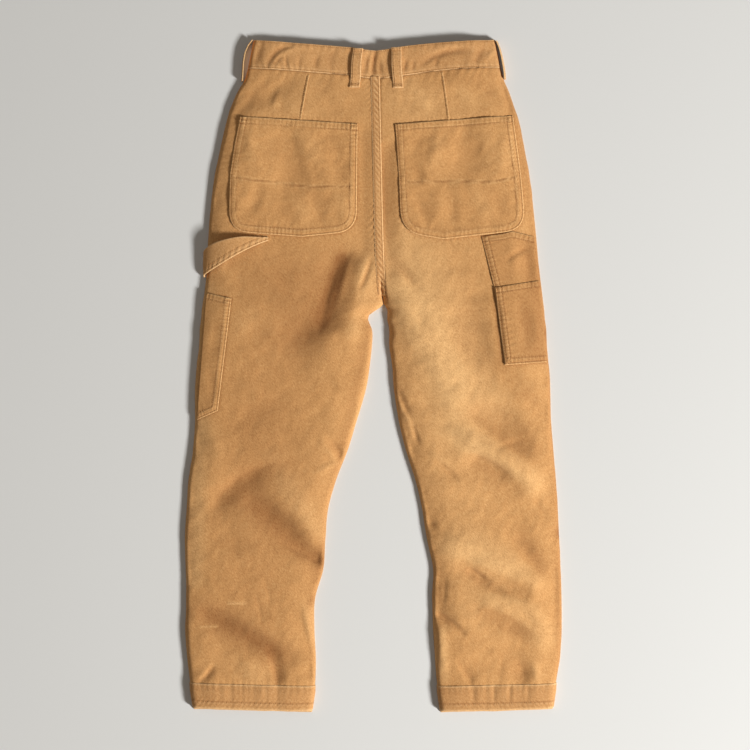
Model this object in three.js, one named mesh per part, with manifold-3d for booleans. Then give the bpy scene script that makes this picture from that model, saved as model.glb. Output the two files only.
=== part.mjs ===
// Canvas work pants laid flat on their front, back side up.
// Millimetres. X runs to the viewer's right, Y towards the waist, Z up from the surface they lie on.
// The origin is on that surface, under the middle of the whole garment.
import * as THREE from 'three';
import { mergeVertices } from 'three/addons/utils/BufferGeometryUtils.js';
import Module from 'manifold-3d';

// Cloth and seams.
const cloth = 1.5;
const bandCloth = 2.2;
const loopCloth = 2;
const cuffCloth = 1.7;
const seamGap = 0.3;

// Shape of the flattened tube: the front lies flat, and the back rises from each side seam
// in a rolled edge and then a crown of trapped air.
const rollHeight = 6.35;
const rollReach = 6.5;
const crownReach = 45;

// Levels along the garment.
const waistLevel = 446;
const crotchLevel = 103;
const crotchBlend = 48;
const waistBlendStart = 370;
const cuffLevel = -449;
const hemBlendStart = -400;
const hemLift = seamGap + cuffCloth;
const hemLiftStart = -425;

// One row for each section of the two legs. Above the crotch the inner edges meet in the centre seam.
// Crown is the height of the trapped air over the rolled edges.
const legRows = [
  { y: 446, leftOuter: -181, leftInner: 4, rightInner: 4, rightOuter: 187.5, crown: 6 },
  { y: 430, leftOuter: -186, leftInner: 4.5, rightInner: 4.5, rightOuter: 192, crown: 6.5 },
  { y: 413, leftOuter: -195.5, leftInner: 5, rightInner: 5, rightOuter: 199.5, crown: 7 },
  { y: 391, leftOuter: -205.5, leftInner: 5.5, rightInner: 5.5, rightOuter: 207, crown: 7.5 },
  { y: 370, leftOuter: -212, leftInner: 6, rightInner: 6, rightOuter: 214, crown: 8 },
  { y: 326, leftOuter: -222, leftInner: 7, rightInner: 7, rightOuter: 223, crown: 8 },
  { y: 280, leftOuter: -231, leftInner: 8, rightInner: 8, rightOuter: 231, crown: 8 },
  { y: 236, leftOuter: -236, leftInner: 9, rightInner: 9, rightOuter: 236, crown: 8 },
  { y: 195, leftOuter: -239, leftInner: 10, rightInner: 10, rightOuter: 240, crown: 8 },
  { y: 150, leftOuter: -241, leftInner: 12, rightInner: 12, rightOuter: 244, crown: 8 },
  { y: 120, leftOuter: -244, leftInner: 14, rightInner: 14, rightOuter: 248, crown: 8.5 },
  { y: 103, leftOuter: -247, leftInner: 17, rightInner: 17, rightOuter: 250, crown: 9 },
  { y: 96, leftOuter: -248, leftInner: 10, rightInner: 22, rightOuter: 251, crown: 9 },
  { y: 89, leftOuter: -248.5, leftInner: -2, rightInner: 22.5, rightOuter: 251.5, crown: 9 },
  { y: 82, leftOuter: -249, leftInner: -6, rightInner: 22, rightOuter: 252, crown: 9 },
  { y: 65, leftOuter: -251, leftInner: 0, rightInner: 25, rightOuter: 254, crown: 9 },
  { y: 43, leftOuter: -252, leftInner: 0, rightInner: 25, rightOuter: 255, crown: 8.5 },
  { y: 10, leftOuter: -256, leftInner: -4, rightInner: 30, rightOuter: 258, crown: 8 },
  { y: -22, leftOuter: -258, leftInner: -9, rightInner: 32, rightOuter: 260, crown: 8 },
  { y: -66, leftOuter: -258, leftInner: -22, rightInner: 39, rightOuter: 261, crown: 8 },
  { y: -109, leftOuter: -261, leftInner: -35, rightInner: 49, rightOuter: 264.5, crown: 8 },
  { y: -153, leftOuter: -267, leftInner: -52, rightInner: 63, rightOuter: 268, crown: 8 },
  { y: -196, leftOuter: -270, leftInner: -64, rightInner: 73, rightOuter: 271, crown: 8 },
  { y: -240, leftOuter: -273, leftInner: -68, rightInner: 80, rightOuter: 273, crown: 8 },
  { y: -283, leftOuter: -271.5, leftInner: -71, rightInner: 89, rightOuter: 275, crown: 7.5 },
  { y: -327, leftOuter: -271, leftInner: -83, rightInner: 88, rightOuter: 276.5, crown: 7 },
  { y: -370, leftOuter: -272, leftInner: -84, rightInner: 89, rightOuter: 276.5, crown: 6.5 },
  { y: -414, leftOuter: -269.5, leftInner: -82, rightInner: 92, rightOuter: 274, crown: 5.5 },
  { y: -449, leftOuter: -265, leftInner: -83, rightInner: 95, rightOuter: 268, crown: 4.5 },
  { y: -483, leftOuter: -260, leftInner: -88, rightInner: 100, rightOuter: 263, crown: 4 },
];

// The waistband's lower seam and top edge, one row for each place across the back.
const waistRows = [
  { x: -181, seam: 445, top: 487 },
  { x: -110, seam: 440, top: 481 },
  { x: -30, seam: 433, top: 474.5 },
  { x: 5, seam: 429, top: 470 },
  { x: 44, seam: 433, top: 476 },
  { x: 103, seam: 441, top: 482 },
  { x: 188, seam: 446, top: 487 },
];
const bandLeft = { seam: -181, top: -173 };
const bandRight = { seam: 187.5, top: 180 };
const bandRise = 0.8;

// The largest folds, each a soft line: below zero a trough, above zero a ridge.
const folds = [
  { name: 'seat, left of the seam', x1: -13, y1: 350, x2: -12, y2: 185, width: 11, height: -1.8 },
  { name: 'seat, right of the seam', x1: 23, y1: 326, x2: 26, y2: 150, width: 11, height: -2.6 },
  { name: 'left hip', x1: -200, y1: 378, x2: -122, y2: 428, width: 14, height: -2.2 },
  { name: 'left pocket hollow', x1: -119, y1: 330, x2: -117, y2: 282, width: 24, height: -2.8 },
  { name: 'right pocket hollow', x1: 135, y1: 352, x2: 138, y2: 308, width: 22, height: -2.4 },
  { name: 'left inner thigh trough', x1: -31, y1: 168, x2: -60, y2: 78, width: 15, height: -5 },
  { name: 'left inner thigh ridge', x1: -12, y1: 155, x2: -30, y2: 62, width: 14, height: 2.6 },
  { name: 'left thigh hollow', x1: -40, y1: 100, x2: -104, y2: 44, width: 30, height: -3 },
  { name: 'left outer knee', x1: -222, y1: -175, x2: -172, y2: -148, width: 18, height: -3 },
  { name: 'left calf diagonal', x1: -170, y1: -182, x2: -78, y2: -276, width: 17, height: -4.2 },
  { name: 'left calf ridge', x1: -140, y1: -135, x2: -82, y2: -232, width: 20, height: 2.4 },
  { name: 'left ankle diagonal', x1: -240, y1: -356, x2: -119, y2: -412, width: 16, height: -3.2 },
  { name: 'right thigh, under layer', x1: 222, y1: 186, x2: 231, y2: 132, width: 11, height: -2.2 },
  { name: 'right knee ridge', x1: 142, y1: -100, x2: 232, y2: -158, width: 18, height: 3.2 },
  { name: 'right knee trough', x1: 150, y1: -132, x2: 205, y2: -162, width: 15, height: -2.8 },
  { name: 'right calf ridge', x1: 115, y1: -252, x2: 234, y2: -298, width: 16, height: 2.8 },
  { name: 'right calf trough', x1: 132, y1: -282, x2: 214, y2: -312, width: 14, height: -2.8 },
  { name: 'right ankle ridge', x1: 172, y1: -334, x2: 248, y2: -384, width: 17, height: 2.8 },
  { name: 'right inseam hollow', x1: 100, y1: -290, x2: 102, y2: -352, width: 13, height: -2.6 },
];

// Grid of each leg panel: distances in from a side edge, then even steps across; levels down the leg.
const edgeSteps = [0, 1.2, 3.5, 6.5, 13];
const backMiddleSteps = 8;
const frontMiddleSteps = 3;
const backLevels = [
  446, 430, 413, 391, 366, 338, 310, 280, 250, 220, 190, 163, 138, 118, 103, 96, 89, 82, 65, 40, 10, -20, -50,
  -80, -110, -138, -165, -192, -220, -248, -276, -304, -332, -360, -388, -410, -430, -449, -483,
];
const frontLevels = [
  446, 430, 413, 391, 340, 280, 220, 163, 118, 103, 96, 89, 82, 65, 10, -50, -110, -165, -220, -276, -332,
  -388, -430, -449, -483,
];

// Outlines of the pieces laid on the backs. Round is how far a corner is cut back on both of its sides.
const backPocketLeft = [
  { x: -191, y: 374, round: 0 },
  { x: -21, y: 363, round: 0 },
  { x: -22.5, y: 207.5, round: 30 },
  { x: -101.5, y: 199.5, round: 0 },
  { x: -207.5, y: 207.5, round: 30 },
  { x: -206, y: 289, round: 0 },
  { x: -199.5, y: 333, round: 0 },
];
const backPocketRight = [
  { x: 33.5, y: 362.5, round: 0 },
  { x: 204.5, y: 375.5, round: 0 },
  { x: 216, y: 290.5, round: 0 },
  { x: 223, y: 209.5, round: 32 },
  { x: 103.5, y: 196, round: 0 },
  { x: 42, y: 206.5, round: 32 },
  { x: 38.5, y: 290.5, round: 0 },
];
const toolPocketLeft = [
  { x: -240, y: 118.5, round: 0 },
  { x: -203.5, y: 110, round: 0 },
  { x: -223.5, y: -52.5, round: 0 },
  { x: -254, y: -66, round: 0 },
];
const toolPocketRight = [
  { x: 158.5, y: 200, round: 0 },
  { x: 188, y: 203.5, round: 0 },
  { x: 203, y: 207.5, round: 0 },
  { x: 234, y: 200.5, round: 0 },
  { x: 243, y: 137, round: 0 },
  { x: 254, y: 18, round: 0 },
  { x: 192, y: 13.5, round: 0 },
  { x: 177, y: 126, round: 0 },
];
const toolPocketRightSmall = [
  { x: 178, y: 126, round: 0 },
  { x: 242.5, y: 136.5, round: 0 },
  { x: 253.5, y: 18.5, round: 0 },
  { x: 193, y: 14, round: 0 },
];

// The hammer loop's strap: its upper and lower edges from the tip by the pocket to the side seam.
// Z is its top face.
const hammerRows = [
  { upperX: -150, upperY: 199, lowerX: -150, lowerY: 194, z: 18.6 },
  { upperX: -166, upperY: 199, lowerX: -164, lowerY: 188.5, z: 21.6 },
  { upperX: -190, upperY: 199, lowerX: -184, lowerY: 179, z: 24.6 },
  { upperX: -212, upperY: 195, lowerX: -205, lowerY: 167.5, z: 24.9 },
  { upperX: -229, upperY: 190, lowerX: -223, lowerY: 157, z: 21.2 },
  { upperX: -240, upperY: 184, lowerX: -237, lowerY: 149, z: 15.4 },
  { upperX: -245.2, upperY: 179, lowerX: -245, lowerY: 144, z: 9.6 },
  { upperX: -243.4, upperY: 177, lowerX: -244.4, lowerY: 141, z: 4.4 },
];

// Belt loops at the centre back: ends of each strap's middle line, and how it stands off the band.
const loopWidth = 14.5;
const backLoops = [
  { name: 'belt_loop_back_left', lowX: -25.5, lowY: 416, highX: -20.5, highY: 472.5 },
  { name: 'belt_loop_back_right', lowX: 37.5, lowY: 415, highX: 34.5, highY: 474 },
];
const loopStandOff = [
  { along: 0, rise: 0.35 },
  { along: 0.1, rise: 0.35 },
  { along: 0.3, rise: 2.9 },
  { along: 0.55, rise: 3.4 },
  { along: 0.78, rise: 2.6 },
  { along: 0.92, rise: 0.4 },
  { along: 1, rise: 0.4 },
];

// Belt loops at the sides stand on edge: the outer face of each strap, seen from above.
const sideLoopFloor = 0.4;
const sideLoopTop = 11.4;
const sideLoopLeft = [
  { x: -175.5, y: 486 },
  { x: -181, y: 479 },
  { x: -186, y: 468 },
  { x: -188.4, y: 454 },
  { x: -189.2, y: 441 },
  { x: -190, y: 427 },
];
const sideLoopRight = [
  { x: 182.7, y: 485 },
  { x: 187, y: 474 },
  { x: 190, y: 462 },
  { x: 192.4, y: 449 },
  { x: 194, y: 439 },
  { x: 194.4, y: 430 },
];

// Front closing, hidden underneath: the left end laps over the right end, with the button below both.
const button = { x: 6, y: 452, radius: 8.5, thickness: 2.2, floorGap: 0.2 };
const lapLift = button.floorGap + button.thickness + seamGap;
const leftLap = { end: 26, liftFrom: -34, liftTo: -6 };
const rightLap = { end: -14, liftFrom: 62, liftTo: 28 };
const flyShield = { top: 426, bottom: 262, left: 9, right: 31 };

// Small maths.
const clamp = (value, low, high) => Math.min(Math.max(value, low), high);
const mix = (from, to, t) => from + (to - from) * t;
function smooth(from, to, value) {
  const t = clamp((value - from) / (to - from), 0, 1);
  return t * t * (3 - 2 * t);
}

// A smooth curve through one column of a table, whose rows are ordered by another.
function curveThrough(rows, key, name) {
  const sorted = [...rows].sort((first, second) => first[key] - second[key]);
  const at = sorted.map((row) => row[key]);
  const value = sorted.map((row) => row[name]);
  const last = at.length - 1;
  const slope = at.map((unused, i) => {
    const low = Math.max(i - 1, 0);
    const high = Math.min(i + 1, last);
    return (value[high] - value[low]) / (at[high] - at[low]);
  });
  return (place) => {
    const here = clamp(place, at[0], at[last]);
    let i = 0;
    while (i < last - 1 && here > at[i + 1]) i += 1;
    const span = at[i + 1] - at[i];
    const t = (here - at[i]) / span;
    const t2 = t * t;
    const t3 = t2 * t;
    return (2 * t3 - 3 * t2 + 1) * value[i] + (t3 - 2 * t2 + t) * span * slope[i]
      + (3 * t2 - 2 * t3) * value[i + 1] + (t3 - t2) * span * slope[i + 1];
  };
}

// The two legs: which way each runs from its outer edge, and its edges at any level.
const aboveCrotch = legRows.filter((row) => row.y >= crotchLevel);
const belowCrotch = legRows.filter((row) => row.y <= crotchLevel);
const centreSeam = curveThrough(aboveCrotch, 'y', 'leftInner');
const crown = curveThrough(legRows, 'y', 'crown');
const waistSeam = curveThrough(waistRows, 'x', 'seam');
const waistTop = curveThrough(waistRows, 'x', 'top');
const legs = {};
legs.left = {
  inward: 1,
  outer: curveThrough(legRows, 'y', 'leftOuter'),
  innerBelow: curveThrough(belowCrotch, 'y', 'leftInner'),
  hemDropOuter: 1.5,
  hemDropInner: -3.5,
};
legs.right = {
  inward: -1,
  outer: curveThrough(legRows, 'y', 'rightOuter'),
  innerBelow: curveThrough(belowCrotch, 'y', 'rightInner'),
  hemDropOuter: 0.5,
  hemDropInner: -3.5,
};
function innerEdge(leg, y) {
  return y > crotchLevel ? centreSeam(y) - leg.inward * seamGap / 2 : leg.innerBelow(y);
}

// Heights of the cloth. Distances are from the leg's outer and inner edges.
const rolled = (distance) => Math.sqrt(1 - (1 - clamp(distance / rollReach, 0, 1)) ** 2);
const crowned = (distance) => 1 - (1 - clamp(distance / crownReach, 0, 1)) ** 2;
const joined = (y) => smooth(crotchLevel, crotchLevel + crotchBlend, y);
const hemRise = (y) => hemLift * smooth(hemLiftStart, cuffLevel, y);
function foldHeight(x, y) {
  let height = 0;
  for (const fold of folds) {
    const alongX = fold.x2 - fold.x1;
    const alongY = fold.y2 - fold.y1;
    const t = ((x - fold.x1) * alongX + (y - fold.y1) * alongY) / (alongX ** 2 + alongY ** 2);
    const nearest = clamp(t, 0, 1);
    const distance = Math.hypot(x - fold.x1 - nearest * alongX, y - fold.y1 - nearest * alongY);
    height += fold.height * Math.exp(-((distance / fold.width) ** 2));
  }
  return height;
}
function backHeight(x, y, fromOuter, fromInner) {
  const edge = rolled(fromOuter) * mix(rolled(fromInner), 1, joined(y));
  const swell = crowned(fromOuter) * mix(crowned(fromInner), 1, joined(y));
  const air = crown(y) + foldHeight(x, y);
  return cloth + seamGap + hemRise(y) + rollHeight * edge + air * swell;
}

// A point on the outside of a leg's back or front, at a share of the way in from its outer edge.
function legPoint(leg, isBack, share, y) {
  const outer = leg.outer(y);
  const width = Math.abs(innerEdge(leg, y) - outer);
  const fromOuter = share * width;
  const x = outer + leg.inward * fromOuter;
  const atWaist = (waistSeam(x) - waistLevel) * smooth(waistBlendStart, waistLevel, y);
  const atHem = mix(leg.hemDropOuter, leg.hemDropInner, share) * smooth(hemBlendStart, cuffLevel, y);
  const z = isBack ? backHeight(x, y, fromOuter, width - fromOuter) : hemRise(y);
  return new THREE.Vector3(x, y + atWaist + atHem, z);
}

// The direction out of a surface, from small steps over it.
function outward(pointAt, share, level, isUp) {
  const shareStep = 0.0003;
  const levelStep = 0.05;
  const shareBefore = Math.max(share - shareStep, 0);
  const shareAfter = Math.min(share + shareStep, 1);
  const across = pointAt(shareAfter, level).sub(pointAt(shareBefore, level));
  const along = pointAt(share, level + levelStep).sub(pointAt(share, level - levelStep));
  const normal = across.cross(along).normalize();
  const pointsUp = normal.z > 0;
  return pointsUp === isUp ? normal : normal.negate();
}

// Shares across a panel: close steps by both edges and even steps between.
function sharesAcross(width, middleSteps) {
  const edge = edgeSteps.at(-1);
  const middle = [];
  for (let step = 1; step < middleSteps; step += 1) middle.push(mix(edge, width - edge, step / middleSteps));
  const distances = [...edgeSteps, ...middle, ...edgeSteps.map((distance) => width - distance).reverse()];
  return distances.map((distance) => distance / width);
}
function legGrid(leg, isBack) {
  const levels = isBack ? backLevels : frontLevels;
  const steps = isBack ? backMiddleSteps : frontMiddleSteps;
  const pointAt = (share, y) => legPoint(leg, isBack, share, y);
  return levels.map((y) => {
    const width = Math.abs(innerEdge(leg, y) - leg.outer(y));
    return sharesAcross(width, steps).map((share) => ({
      point: pointAt(share, y),
      normal: outward(pointAt, share, y, isBack),
    }));
  });
}

// A closed body from triangles, turned so that its faces point out.
function closedBody(points, triangles) {
  let volume = 0;
  for (const [a, b, c] of triangles) {
    volume += points[a].dot(new THREE.Vector3().crossVectors(points[b], points[c]));
  }
  const index = triangles.flatMap(([a, b, c]) => (volume > 0 ? [a, b, c] : [a, c, b]));
  const geometry = new THREE.BufferGeometry();
  geometry.setAttribute('position', new THREE.Float32BufferAttribute(points.flatMap((p) => p.toArray()), 3));
  geometry.setIndex(index);
  return geometry;
}

// A wall between two grids of points that have the same rows and columns.
function wall(outside, inside) {
  const rows = outside.length;
  const columns = outside[0].length;
  const count = rows * columns;
  const points = [...outside.flat(), ...inside.flat()];
  const triangles = [];
  const quad = (a, b, c, d) => triangles.push([a, b, c], [a, c, d]);
  for (let row = 0; row < rows - 1; row += 1) {
    for (let column = 0; column < columns - 1; column += 1) {
      const a = row * columns + column;
      quad(a, a + 1, a + columns + 1, a + columns);
      quad(count + a, count + a + columns, count + a + columns + 1, count + a + 1);
    }
  }
  for (let column = 0; column < columns - 1; column += 1) {
    const end = (rows - 1) * columns + column;
    quad(column + 1, column, count + column, count + column + 1);
    quad(end, end + 1, count + end + 1, count + end);
  }
  for (let row = 0; row < rows - 1; row += 1) {
    const start = row * columns;
    const end = start + columns - 1;
    quad(start, start + columns, count + start + columns, count + start);
    quad(end + columns, end, count + end, count + end + columns);
  }
  return closedBody(points, triangles);
}

// A closed band from sections that follow each other round a ring.
function ring(sections) {
  const size = sections[0].length;
  const triangles = [];
  sections.forEach((section, k) => {
    const next = (k + 1) % sections.length;
    for (let i = 0; i < size; i += 1) {
      const j = (i + 1) % size;
      triangles.push([k * size + i, k * size + j, next * size + j]);
      triangles.push([k * size + i, next * size + j, next * size + i]);
    }
  });
  return closedBody(sections.flat(), triangles);
}

// Solids for cutting and joining.
const wasm = await Module();
wasm.setup();
function toSolid(geometry) {
  const bare = geometry.clone();
  bare.deleteAttribute('normal');
  bare.deleteAttribute('uv');
  const merged = mergeVertices(bare, 1e-4);
  return new wasm.Manifold(new wasm.Mesh({
    numProp: 3,
    vertProperties: new Float32Array(merged.attributes.position.array),
    triVerts: new Uint32Array(merged.index.array),
  }));
}
function toGeometry(solid) {
  const mesh = solid.getMesh();
  const geometry = new THREE.BufferGeometry();
  geometry.setAttribute('position', new THREE.Float32BufferAttribute(mesh.vertProperties, 3));
  geometry.setIndex([...mesh.triVerts]);
  return geometry;
}

// A flat outline with its corners rounded.
function roundedOutline(corners) {
  const shape = new THREE.Shape();
  const count = corners.length;
  corners.forEach((corner, i) => {
    const here = new THREE.Vector2(corner.x, corner.y);
    const before = new THREE.Vector2(corners[(i + count - 1) % count].x, corners[(i + count - 1) % count].y);
    const after = new THREE.Vector2(corners[(i + 1) % count].x, corners[(i + 1) % count].y);
    const start = here.clone().add(before.sub(here).setLength(corner.round));
    const end = here.clone().add(after.sub(here).setLength(corner.round));
    if (i === 0) shape.moveTo(start.x, start.y);
    else shape.lineTo(start.x, start.y);
    if (corner.round > 0) shape.quadraticCurveTo(here.x, here.y, end.x, end.y);
  });
  shape.closePath();
  return shape;
}

// A piece of cloth laid on a back: the back's own points moved up, cut to the piece's outline.
const cutterDepth = 60;
function laidOn(grid, corners, rise, thickness) {
  const away = (height) => grid.map((row) => row.slice(1, -1).map(({ point }) => (
    new THREE.Vector3(point.x, point.y, point.z + height))));
  const layer = toSolid(wall(away(rise + thickness), away(rise)));
  const cutter = new THREE.ExtrudeGeometry(roundedOutline(corners), {
    depth: cutterDepth,
    bevelEnabled: false,
    curveSegments: 6,
  });
  return toGeometry(layer.intersect(toSolid(cutter)));
}

// A leg panel: the outside grid, and the inside a wall's thickness behind it.
function legPanel(grid, isBack) {
  const outside = grid.map((row) => row.map(({ point }) => point));
  const inside = grid.map((row) => row.map(({ point, normal }, column) => {
    const inner = point.clone().addScaledVector(normal, -cloth);
    const isEdge = column === 0 || column === row.length - 1;
    if (isEdge && isBack) inner.z = Math.max(inner.z, point.z);
    return inner;
  }));
  return wall(outside, inside);
}

// The centre back seam lies on both backs, from the waistband to just above the crotch.
const seamStripCloth = 1.2;
const seamStripEnd = 118;
function centreBackSeam(leftGrid, rightGrid) {
  const inset = edgeSteps.length - 2;
  const rows = backLevels.filter((y) => y >= seamStripEnd).length;
  const edgesAt = (row) => {
    const fromLeft = leftGrid[row].slice(-1 - inset);
    const fromRight = rightGrid[row].slice(-1 - inset).reverse();
    return [...fromLeft, ...fromRight].map(({ point }) => point);
  };
  const raised = (height) => Array.from({ length: rows }, (unused, row) => edgesAt(row).map((point) => (
    new THREE.Vector3(point.x, point.y, point.z + height))));
  return wall(raised(seamGap + seamStripCloth), raised(seamGap));
}

// The turned-up cuff: a band round the end of the leg that hooks under the leg's own wall.
const cuffFold = [
  { past: 2.2, out: 1.5 },
  { past: 3.2, out: 0.2 },
  { past: 2.4, out: -1.1 },
  { past: seamGap, out: -cloth },
];
function cuff(leg, backGrid, frontGrid) {
  const topRow = (grid) => grid.at(-2);
  const endRow = (grid) => grid.at(-1);
  const around = (pick) => {
    const front = [...pick(frontGrid)];
    front[0] = { point: front[0].point, normal: new THREE.Vector3(-leg.inward, 0, -1) };
    front.push({ point: front.pop().point, normal: new THREE.Vector3(leg.inward, 0, -1) });
    return [...pick(backGrid), ...front.reverse()];
  };
  const top = around(topRow);
  const end = around(endRow);
  const sections = top.map((start, k) => {
    const finish = end[k];
    const down = finish.point.clone().sub(start.point).normalize();
    const outOf = ({ point, normal }, distance) => point.clone().addScaledVector(normal, distance);
    const fold = cuffFold.map(({ past, out }) => outOf(finish, out).addScaledVector(down, past));
    return [
      outOf(start, seamGap),
      outOf(start, hemLift),
      outOf(finish, hemLift),
      ...fold,
      outOf(finish, seamGap).addScaledVector(down, seamGap),
    ];
  });
  return ring(sections);
}

// The waistband, flattened like the legs. The back half is one strip from side to side.
const bandSteps = 16;
const bandRowShares = [0, 0.35, 0.7, 1];
function bandPoint(isBack, share, rise) {
  const leftX = mix(bandLeft.seam, bandLeft.top, rise);
  const rightX = mix(bandRight.seam, bandRight.top, rise);
  const x = mix(leftX, rightX, share);
  const y = mix(waistSeam(x) + seamGap, waistTop(x), rise);
  return new THREE.Vector3(x, y, bandHeight(isBack, x - leftX, rightX - x));
}
function bandHeight(isBack, fromLeft, fromRight) {
  if (!isBack) return 0;
  const edge = rolled(fromLeft) * rolled(fromRight);
  const swell = crowned(fromLeft) * crowned(fromRight);
  const low = bandCloth + seamGap;
  const high = cloth + seamGap + rollHeight + bandRise;
  return mix(low, high, edge) + crown(waistLevel) * swell;
}
function bandHalf(isBack, fromX, toX, liftAt) {
  const pointAt = (share, rise) => {
    const point = bandPoint(isBack, share, rise);
    point.z += liftAt(point.x);
    return point;
  };
  const width = bandRight.seam - bandLeft.seam;
  const shares = sharesAcross(width, bandSteps).filter((share) => {
    const x = mix(bandLeft.seam, bandRight.seam, share);
    return x >= fromX && x <= toX;
  });
  const outside = [];
  const inside = [];
  for (const rise of bandRowShares) {
    const points = shares.map((share) => pointAt(share, rise));
    outside.push(points);
    inside.push(points.map((point, column) => {
      const inner = point.clone().addScaledVector(outward(pointAt, shares[column], rise, isBack), -bandCloth);
      const isSideEdge = shares[column] === 0 || shares[column] === 1;
      if (isSideEdge && isBack) inner.z = Math.max(inner.z, point.z);
      return inner;
    }));
  }
  return wall(outside, inside);
}

// Height of whatever a belt loop at the centre back lies on.
function backSurface(x, y) {
  if (y > waistSeam(x)) return bandHeight(true, x - bandLeft.seam, bandRight.seam - x);
  const leg = x < centreSeam(y) ? legs.left : legs.right;
  return backHeight(x, y, Math.abs(x - leg.outer(y)), Math.abs(innerEdge(leg, y) - x));
}
const loopRows = 12;
const nearby = [-3, 0, 3];
function backLoop(loop) {
  const standOff = curveThrough(loopStandOff, 'along', 'rise');
  const under = [];
  const over = [];
  for (let row = 0; row <= loopRows; row += 1) {
    const along = row / loopRows;
    const x = mix(loop.lowX, loop.highX, along);
    const y = mix(loop.lowY, loop.highY, along);
    const sides = [x - loopWidth / 2, x, x + loopWidth / 2];
    const base = Math.max(...sides.flatMap((side) => nearby.map((step) => backSurface(side, y + step))));
    const z = base + standOff(along);
    under.push(sides.map((side) => new THREE.Vector3(side, y, z)));
    over.push(sides.map((side) => new THREE.Vector3(side, y, z + loopCloth)));
  }
  return wall(over, under);
}

// A belt loop on edge beside the waistband.
function sideLoop(rows, towardsBand) {
  const face = (offset) => rows.map((row) => [sideLoopFloor, sideLoopTop].map((z) => (
    new THREE.Vector3(row.x + offset, row.y, z))));
  return wall(face(0), face(towardsBand * loopCloth));
}

// The hammer loop's strap.
const hammerAcross = [0, 0.33, 0.67, 1];
function hammerLoop() {
  const pointAt = (across, row) => {
    const place = hammerRows[clamp(row, 0, hammerRows.length - 1)];
    const x = mix(place.upperX, place.lowerX, across);
    const y = mix(place.upperY, place.lowerY, across);
    return new THREE.Vector3(x, y, place.z);
  };
  const outside = hammerRows.map((unused, row) => hammerAcross.map((across) => pointAt(across, row)));
  const inside = outside.map((points, row) => points.map((point, column) => {
    const along = pointAt(hammerAcross[column], row + 1).sub(pointAt(hammerAcross[column], row - 1));
    const across = pointAt(1, row).sub(pointAt(0, row));
    const normal = along.cross(across).normalize();
    return point.clone().addScaledVector(normal, -Math.sign(normal.z || 1) * loopCloth);
  }));
  return wall(outside, inside);
}

// The fly shield lies inside on both fronts.
function flyShieldBody() {
  const rows = [flyShield.top, mix(flyShield.top, flyShield.bottom, 0.5), flyShield.bottom];
  const face = (z) => rows.map((y) => [-flyShield.left, flyShield.right].map((offset) => (
    new THREE.Vector3(centreSeam(y) + offset, y, z))));
  return wall(face(2 * cloth + seamGap), face(cloth + seamGap));
}

// The waist button: a dished disc lying face down.
function waistButton() {
  const { radius, thickness } = button;
  const profile = [
    [0, 0.5],
    [radius * 0.55, 0.5],
    [radius * 0.75, 0],
    [radius * 0.92, 0.15],
    [radius, thickness * 0.5],
    [radius * 0.9, thickness],
    [0, thickness],
  ].map(([r, z]) => new THREE.Vector2(r, z));
  const geometry = new THREE.LatheGeometry(profile, 24);
  geometry.rotateX(Math.PI / 2);
  geometry.translate(button.x, button.y, button.floorGap);
  return geometry;
}

// Colours of the cloth and the button.
const canvas = { color: 0xc18e59, roughness: 0.9, metalness: 0 };
const canvasDouble = { color: 0xc69460, roughness: 0.9, metalness: 0 };
const buttonMetal = { color: 0x8a6a45, roughness: 0.4, metalness: 0.8 };

const group = new THREE.Group();
group.name = 'work_pants';
function add(name, geometry, finish) {
  const mesh = new THREE.Mesh(geometry, new THREE.MeshStandardMaterial(finish));
  mesh.name = name;
  group.add(mesh);
}

const backGrids = { left: legGrid(legs.left, true), right: legGrid(legs.right, true) };
const frontGrids = { left: legGrid(legs.left, false), right: legGrid(legs.right, false) };
for (const side of ['left', 'right']) {
  add(`back_leg_${side}`, legPanel(backGrids[side], true), canvas);
  add(`front_leg_${side}`, legPanel(frontGrids[side], false), canvas);
  add(`cuff_${side}`, cuff(legs[side], backGrids[side], frontGrids[side]), canvasDouble);
}
add('centre_back_seam', centreBackSeam(backGrids.left, backGrids.right), canvasDouble);
const bandStart = bandLeft.seam;
const bandFinish = bandRight.seam;
add('waistband_back', bandHalf(true, bandStart, bandFinish, () => 0), canvasDouble);
const liftLeft = (x) => lapLift * smooth(leftLap.liftFrom, leftLap.liftTo, x);
const liftRight = (x) => (lapLift + bandCloth + seamGap) * smooth(rightLap.liftFrom, rightLap.liftTo, x);
add('waistband_front_left', bandHalf(false, bandStart, leftLap.end, liftLeft), canvasDouble);
add('waistband_front_right', bandHalf(false, rightLap.end, bandFinish, liftRight), canvasDouble);
add('fly_shield', flyShieldBody(), canvas);
add('waist_button', waistButton(), buttonMetal);
add('back_pocket_left', laidOn(backGrids.left, backPocketLeft, seamGap, cloth), canvas);
add('back_pocket_right', laidOn(backGrids.right, backPocketRight, seamGap, cloth), canvas);
add('tool_pocket_left', laidOn(backGrids.left, toolPocketLeft, seamGap, cloth), canvas);
add('tool_pocket_right', laidOn(backGrids.right, toolPocketRight, seamGap, cloth), canvas);
const secondLayer = 2 * seamGap + cloth;
add('tool_pocket_right_small', laidOn(backGrids.right, toolPocketRightSmall, secondLayer, cloth), canvas);
add('hammer_loop', hammerLoop(), canvasDouble);
for (const loop of backLoops) add(loop.name, backLoop(loop), canvasDouble);
add('belt_loop_side_left', sideLoop(sideLoopLeft, 1), canvasDouble);
add('belt_loop_side_right', sideLoop(sideLoopRight, -1), canvasDouble);

export default group;
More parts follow.
